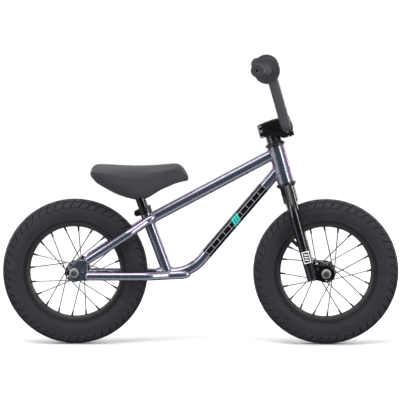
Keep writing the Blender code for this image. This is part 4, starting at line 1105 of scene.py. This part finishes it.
def saddle_ring(ahead, top, under, half, tail, crest, sides=72):
    """One section across the saddle: a full crown over sides that draw in to the keel."""
    waist = top + WAIST * (under - top)
    ring = []
    for step in range(sides):
        angle = 2 * math.pi * step / sides
        upper = math.sin(angle) >= 0
        power = 2 / (UPPER_FULLNESS if upper else LOWER_FULLNESS)
        aside = math.copysign(abs(math.cos(angle)) ** power, math.cos(angle)) * half
        rise = abs(math.sin(angle)) ** power
        depth = waist - rise * (waist - top) if upper else waist + rise * (under - waist)
        ring.append(Vector((tail + ahead, aside, crest - depth)))
    return ring


saddle_low, saddle_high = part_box("saddle")
tail = saddle_low.x - 0.0008
crest = saddle_high.z + 0.0008
rings = []
last = len(saddle_stations) - 1
for index in range(last):
    four = [saddle_stations[min(max(index + offset, 0), last)] for offset in (-1, 0, 1, 2)]
    for part in range(4):
        values = [eased(*column, part / 4) for column in zip(*four)]
        rings.append(saddle_ring(*values, tail, crest))
rings.append(saddle_ring(*saddle_stations[last], tail, crest))
saddle = add_piece("saddle_moulded", skin(rings), hide, "seat", "saddle_foam", ["saddle"], 60)

# Moulded nylon: near black, with an even half gloss and a 1 mm texture.
nylon = mottled("moulded_nylon", ("#1a1a1c", "#222224"), (0.5, 0.5), (0.001, 2), (0.1, 0.0002))
frame["nodes"]["saddle_base"].data.materials[0] = nylon


# ---------------------------------------------------------------- printed films
# Thin vinyl films: a black sleeve round the down tube with a ruled pattern and three slanted
# stripes, and a framed panel on the outer side of each fork leg.  The patterns are plain.

FILM = 0.00012                     # how far a film stands off the paint
SLEEVE_LOW = 0.0560                # along the down tube, from where it bends
SLEEVE_HIGH = 0.2480
RULE_WIDTH = 0.0009
RULE_ANGLE = 27                    # of the two long lines, off the side of the tube
TICK_PITCH = 0.0190


def vinyl(name, colours, low_rough):
    """Printed vinyl film: an even colour with a soft gloss and a slight unevenness."""
    return mottled(name, colours, (low_rough, low_rough + 0.08), (0.006, 2), (0.03, 0.0001), {"IOR": 1.5})


black_vinyl = vinyl("black_vinyl", ("#08090d", "#0b0c11"), 0.2)
silver_vinyl = vinyl("silver_vinyl", ("#97989d", "#a8a9ad"), 0.3)
teal_vinyl = vinyl("teal_vinyl", ("#25b3a8", "#2fc4b8"), 0.3)
white_vinyl = vinyl("white_vinyl", ("#e6e6e6", "#f0f0f0"), 0.35)


def film_patch(start, along, outward, radii, span, angles, lean=0.0, lift=FILM):
    """A film wrapped on a tube: span is along it, angles are round it from outward, in degrees.

    radii are the tube's at both ends of the span, and lean shifts it along with the angle.
    """
    axis = Vector(along).normalized()
    aside = axis.cross(outward)
    steps = max(int(abs(angles[1] - angles[0]) / 6), 1)
    rings = []
    for stand_off in (lift, -FILM):
        for distance, radius in zip(span, radii):
            line = []
            for step in range(steps + 1):
                turn = math.radians(angles[0] + (angles[1] - angles[0]) * step / steps)
                shifted = distance + lean * (step / steps - 0.5)
                line.append(start + shifted * axis
                            + (radius + stand_off) * (math.cos(turn) * outward + math.sin(turn) * aside))
            rings.append(line)
    outer_near, outer_far, inner_near, inner_far = rings
    cross_sections = [list(four) for four in zip(outer_near, outer_far, inner_far, inner_near)]
    return skin(cross_sections)


down_axis = down_direction.normalized()
sleeve_profile = [(DOWN_TUBE_RADIUS + FILM, SLEEVE_LOW), (DOWN_TUBE_RADIUS + FILM, SLEEVE_HIGH),
                  (DOWN_TUBE_RADIUS - FILM, SLEEVE_HIGH), (DOWN_TUBE_RADIUS - FILM, SLEEVE_LOW)]
sleeve = turned(sleeve_profile, down_corner, down_axis, 48, True)
add_piece("down_tube_sleeve", sleeve, black_vinyl, "frame", "frame_paint")

STRIPE_MIDDLE = 0.1550             # along the down tube
STRIPE_PITCH = 0.0068
STRIPE_HALF = 0.0024
rules = []
stripes = []
rule_turn = math.degrees(RULE_WIDTH / DOWN_TUBE_RADIUS)
for sign in (1, -1):

    def tube_film(span, angles, lean=0.0, layer=2):
        """A film on this side of the down tube, over the sleeve."""
        radii = (DOWN_TUBE_RADIUS, DOWN_TUBE_RADIUS)
        return film_patch(down_corner, down_axis, sign * SIDEWAYS, radii, span, angles, lean, layer * FILM)

    for angle in (-RULE_ANGLE, RULE_ANGLE):
        rules.append(tube_film((SLEEVE_LOW, SLEEVE_HIGH), (angle - rule_turn / 2, angle + rule_turn / 2)))
    for tick in range(int((SLEEVE_HIGH - SLEEVE_LOW) / TICK_PITCH) + 1):
        middle = SLEEVE_LOW + 0.003 + tick * TICK_PITCH
        if abs(middle - STRIPE_MIDDLE) > 0.014:
            span = (middle - RULE_WIDTH / 2, middle + RULE_WIDTH / 2)
            rules.append(tube_film(span, (-RULE_ANGLE, RULE_ANGLE)))
    for stripe in (-1, 0, 1):
        middle = STRIPE_MIDDLE + STRIPE_PITCH * stripe
        span = (middle - STRIPE_HALF, middle + STRIPE_HALF)
        stripes.append(tube_film(span, (-46, 46), sign * 0.007, 3))
add_piece("down_tube_rules", merged(rules), silver_vinyl, "frame", "frame_paint")
add_piece("down_tube_stripes", merged(stripes), teal_vinyl, "frame", "frame_paint")

PANEL_LOW = 0.0340                 # along the steering axis, above the front axle
PANEL_HIGH = 0.0600
PANEL_TURN = 42
FRAME_WIDTH = 0.0019
for side_name, sign in LEFT_RIGHT:
    outward = sign * SIDEWAYS
    leg_foot = steer(0, 0, sign * LEG_SPREAD)
    route = leg_routes[side_name]

    def panel_patch(span, angles, lean=0.0):
        """A film on this leg, which follows its taper."""
        radii = [leg_radius(route, leg_foot + distance * steer_up) for distance in span]
        return film_patch(leg_foot, steer_up, outward, radii, span, angles, lean, 2 * FILM)

    edge_turn = math.degrees(FRAME_WIDTH / LEG_RADIUS)
    patches = [panel_patch((PANEL_LOW, PANEL_LOW + FRAME_WIDTH), (-PANEL_TURN, PANEL_TURN)),
               panel_patch((PANEL_HIGH - FRAME_WIDTH, PANEL_HIGH), (-PANEL_TURN, PANEL_TURN)),
               panel_patch((PANEL_LOW, PANEL_HIGH), (-PANEL_TURN, -PANEL_TURN + edge_turn)),
               panel_patch((PANEL_LOW, PANEL_HIGH), (PANEL_TURN - edge_turn, PANEL_TURN))]
    for bar in range(3):
        middle = (PANEL_LOW + PANEL_HIGH) / 2 + (bar - 1) * 0.0058
        patches.append(panel_patch((middle - 0.0013, middle + 0.0013), (-20, 20), sign * 0.003))
    add_piece(f"fork_panel_{side_name}", merged(patches), white_vinyl, "fork", "black_paint")


# ---------------------------------------------------------------- studio
# A pale matt floor without an edge in sight, a banded sky, three broad soft lights and four
# tall strip lights, as for a catalogue picture.

FLOOR_SIZE = 1200.0
bpy.ops.mesh.primitive_plane_add(size=FLOOR_SIZE, location=(0, 0, -0.0002))
floor = bpy.context.active_object
floor.name = "studio_floor"
# Pale matt paper, with a mottle about 25 mm across that is almost even.
paper = new_finish("pale_matt_paper")
paper_place = add_node(paper, "TexCoord")
paper_grain = add_node(paper, "TexNoise", {"Scale": 40.0}, {"Vector": paper_place.outputs["Object"]})
paper_shade = add_node(paper, "ValToRGB", {}, {0: paper_grain})
colour_stops(paper_shade, [(0.0, "#f4f4f4"), (1.0, "#f7f7f7")])
finish_with(paper, {"Roughness": 1.0, "Specular IOR Level": 0.0}, {"Base Color": paper_shade})
floor.data.materials.append(paper)
floor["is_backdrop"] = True
floor.visible_glossy = False

scene = bpy.context.scene
scene.view_settings.view_transform = "Standard"
# The tubes reflect a bright ring round the bike's side, dark towards the camera and dark
# behind.  Past the floor's far edge the eye sees only white.
sky = bpy.data.worlds.new("studio_sky")
sky.use_nodes = True
sky.node_tree.nodes.clear()
sky_place = add_node(sky, "TexCoord")
sky_split = add_node(sky, "SeparateXYZ", {}, {0: sky_place.outputs["Generated"]})
sky_shift = add_node(sky, "MapRange", {1: -1.0}, {0: sky_split.outputs["Y"]})
sky_ramp = add_node(sky, "ValToRGB", {}, {0: sky_shift})
colour_stops(sky_ramp, [(0.0, "#1a1a1e"), (0.06, "#26262c"), (0.14, "#84848c"), (0.30, "#d2d0da"),
                        (0.44, "#a6a6b0"), (0.56, "#2a2a32"), (1.0, "#26262e")])
seen = add_node(sky, "LightPath")
sky_mix = add_node(sky, "Mix", {"data_type": "RGBA", 7: linear("#ffffff")},
                   {0: seen.outputs["Is Camera Ray"], 6: sky_ramp})
# The studio's pale floor lights the undersides: nearly twice as bright below as level.
below = add_node(sky, "MapRange", {1: -0.7, 2: 0.1, 3: 1.9, 4: 1.0}, {0: sky_split.outputs["Z"]})
glow = add_node(sky, "Background", {}, {"Color": sky_mix.outputs[2], "Strength": below})
add_node(sky, "OutputWorld", {}, {"Surface": glow})
scene.world = sky


def bearing(azimuth, height):
    """A direction by its azimuth, 0 on the near side, and its height, both in degrees."""
    turn = math.radians(azimuth)
    rise = math.radians(height)
    return Vector((math.sin(turn) * math.cos(rise), -math.cos(turn) * math.cos(rise), math.sin(rise)))


def add_lamp(name, kind, energy, toward, location=(0, 0, 0)):
    """A light whose back is turned toward a direction."""
    lamp = bpy.data.lights.new(name, kind)
    lamp.energy = energy
    light = bpy.data.objects.new(name, lamp)
    scene.collection.objects.link(light)
    light.location = location
    light.rotation_euler = toward.to_track_quat("Z", "Y").to_euler()
    return lamp


for name, azimuth, height, strength, spread in (("key_light", -30, 70, 1.9, 45),
                                                ("fill_light", 40, 45, 0.3, 60),
                                                ("rear_light", 180, 55, 1.0, 60)):
    add_lamp(name, "SUN", strength, bearing(azimuth, height)).angle = math.radians(spread)

# The strip lights stand round the bike and face its middle.
STRIP_DISTANCE = 2.6
for azimuth in (-50, 52, 130, -130):
    place = STRIP_DISTANCE * bearing(azimuth, 0) + Vector((0, 0, 0.9))
    toward = (place - Vector((0, 0, 0.35))).normalized()
    strip = add_lamp(f"strip_light_{azimuth + 180}", "AREA", 30, toward, place)
    strip.shape = "RECTANGLE"
    strip.size = 0.35
    strip.size_y = 2.2

# The camera stands well back with a long lens, on the bike's right, a little above it.
CAMERA_TURN = 1.15                 # towards the front of the bike
CAMERA_RISE = 4.5
CAMERA_DISTANCE = 6.0
SENSOR = 36.0
VIEW_WIDTH = 0.872
aim = Vector((-0.0009, 0, 0.3145))
camera_data = bpy.data.cameras.new("camera")
camera_data.sensor_width = SENSOR
camera_data.lens = SENSOR * CAMERA_DISTANCE / VIEW_WIDTH
camera_data.clip_end = 1500
camera = bpy.data.objects.new("camera", camera_data)
scene.collection.objects.link(camera)
camera.location = aim + CAMERA_DISTANCE * bearing(CAMERA_TURN, CAMERA_RISE)
camera.rotation_euler = (aim - camera.location).to_track_quat("-Z", "Y").to_euler()
scene.camera = camera

low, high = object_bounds()
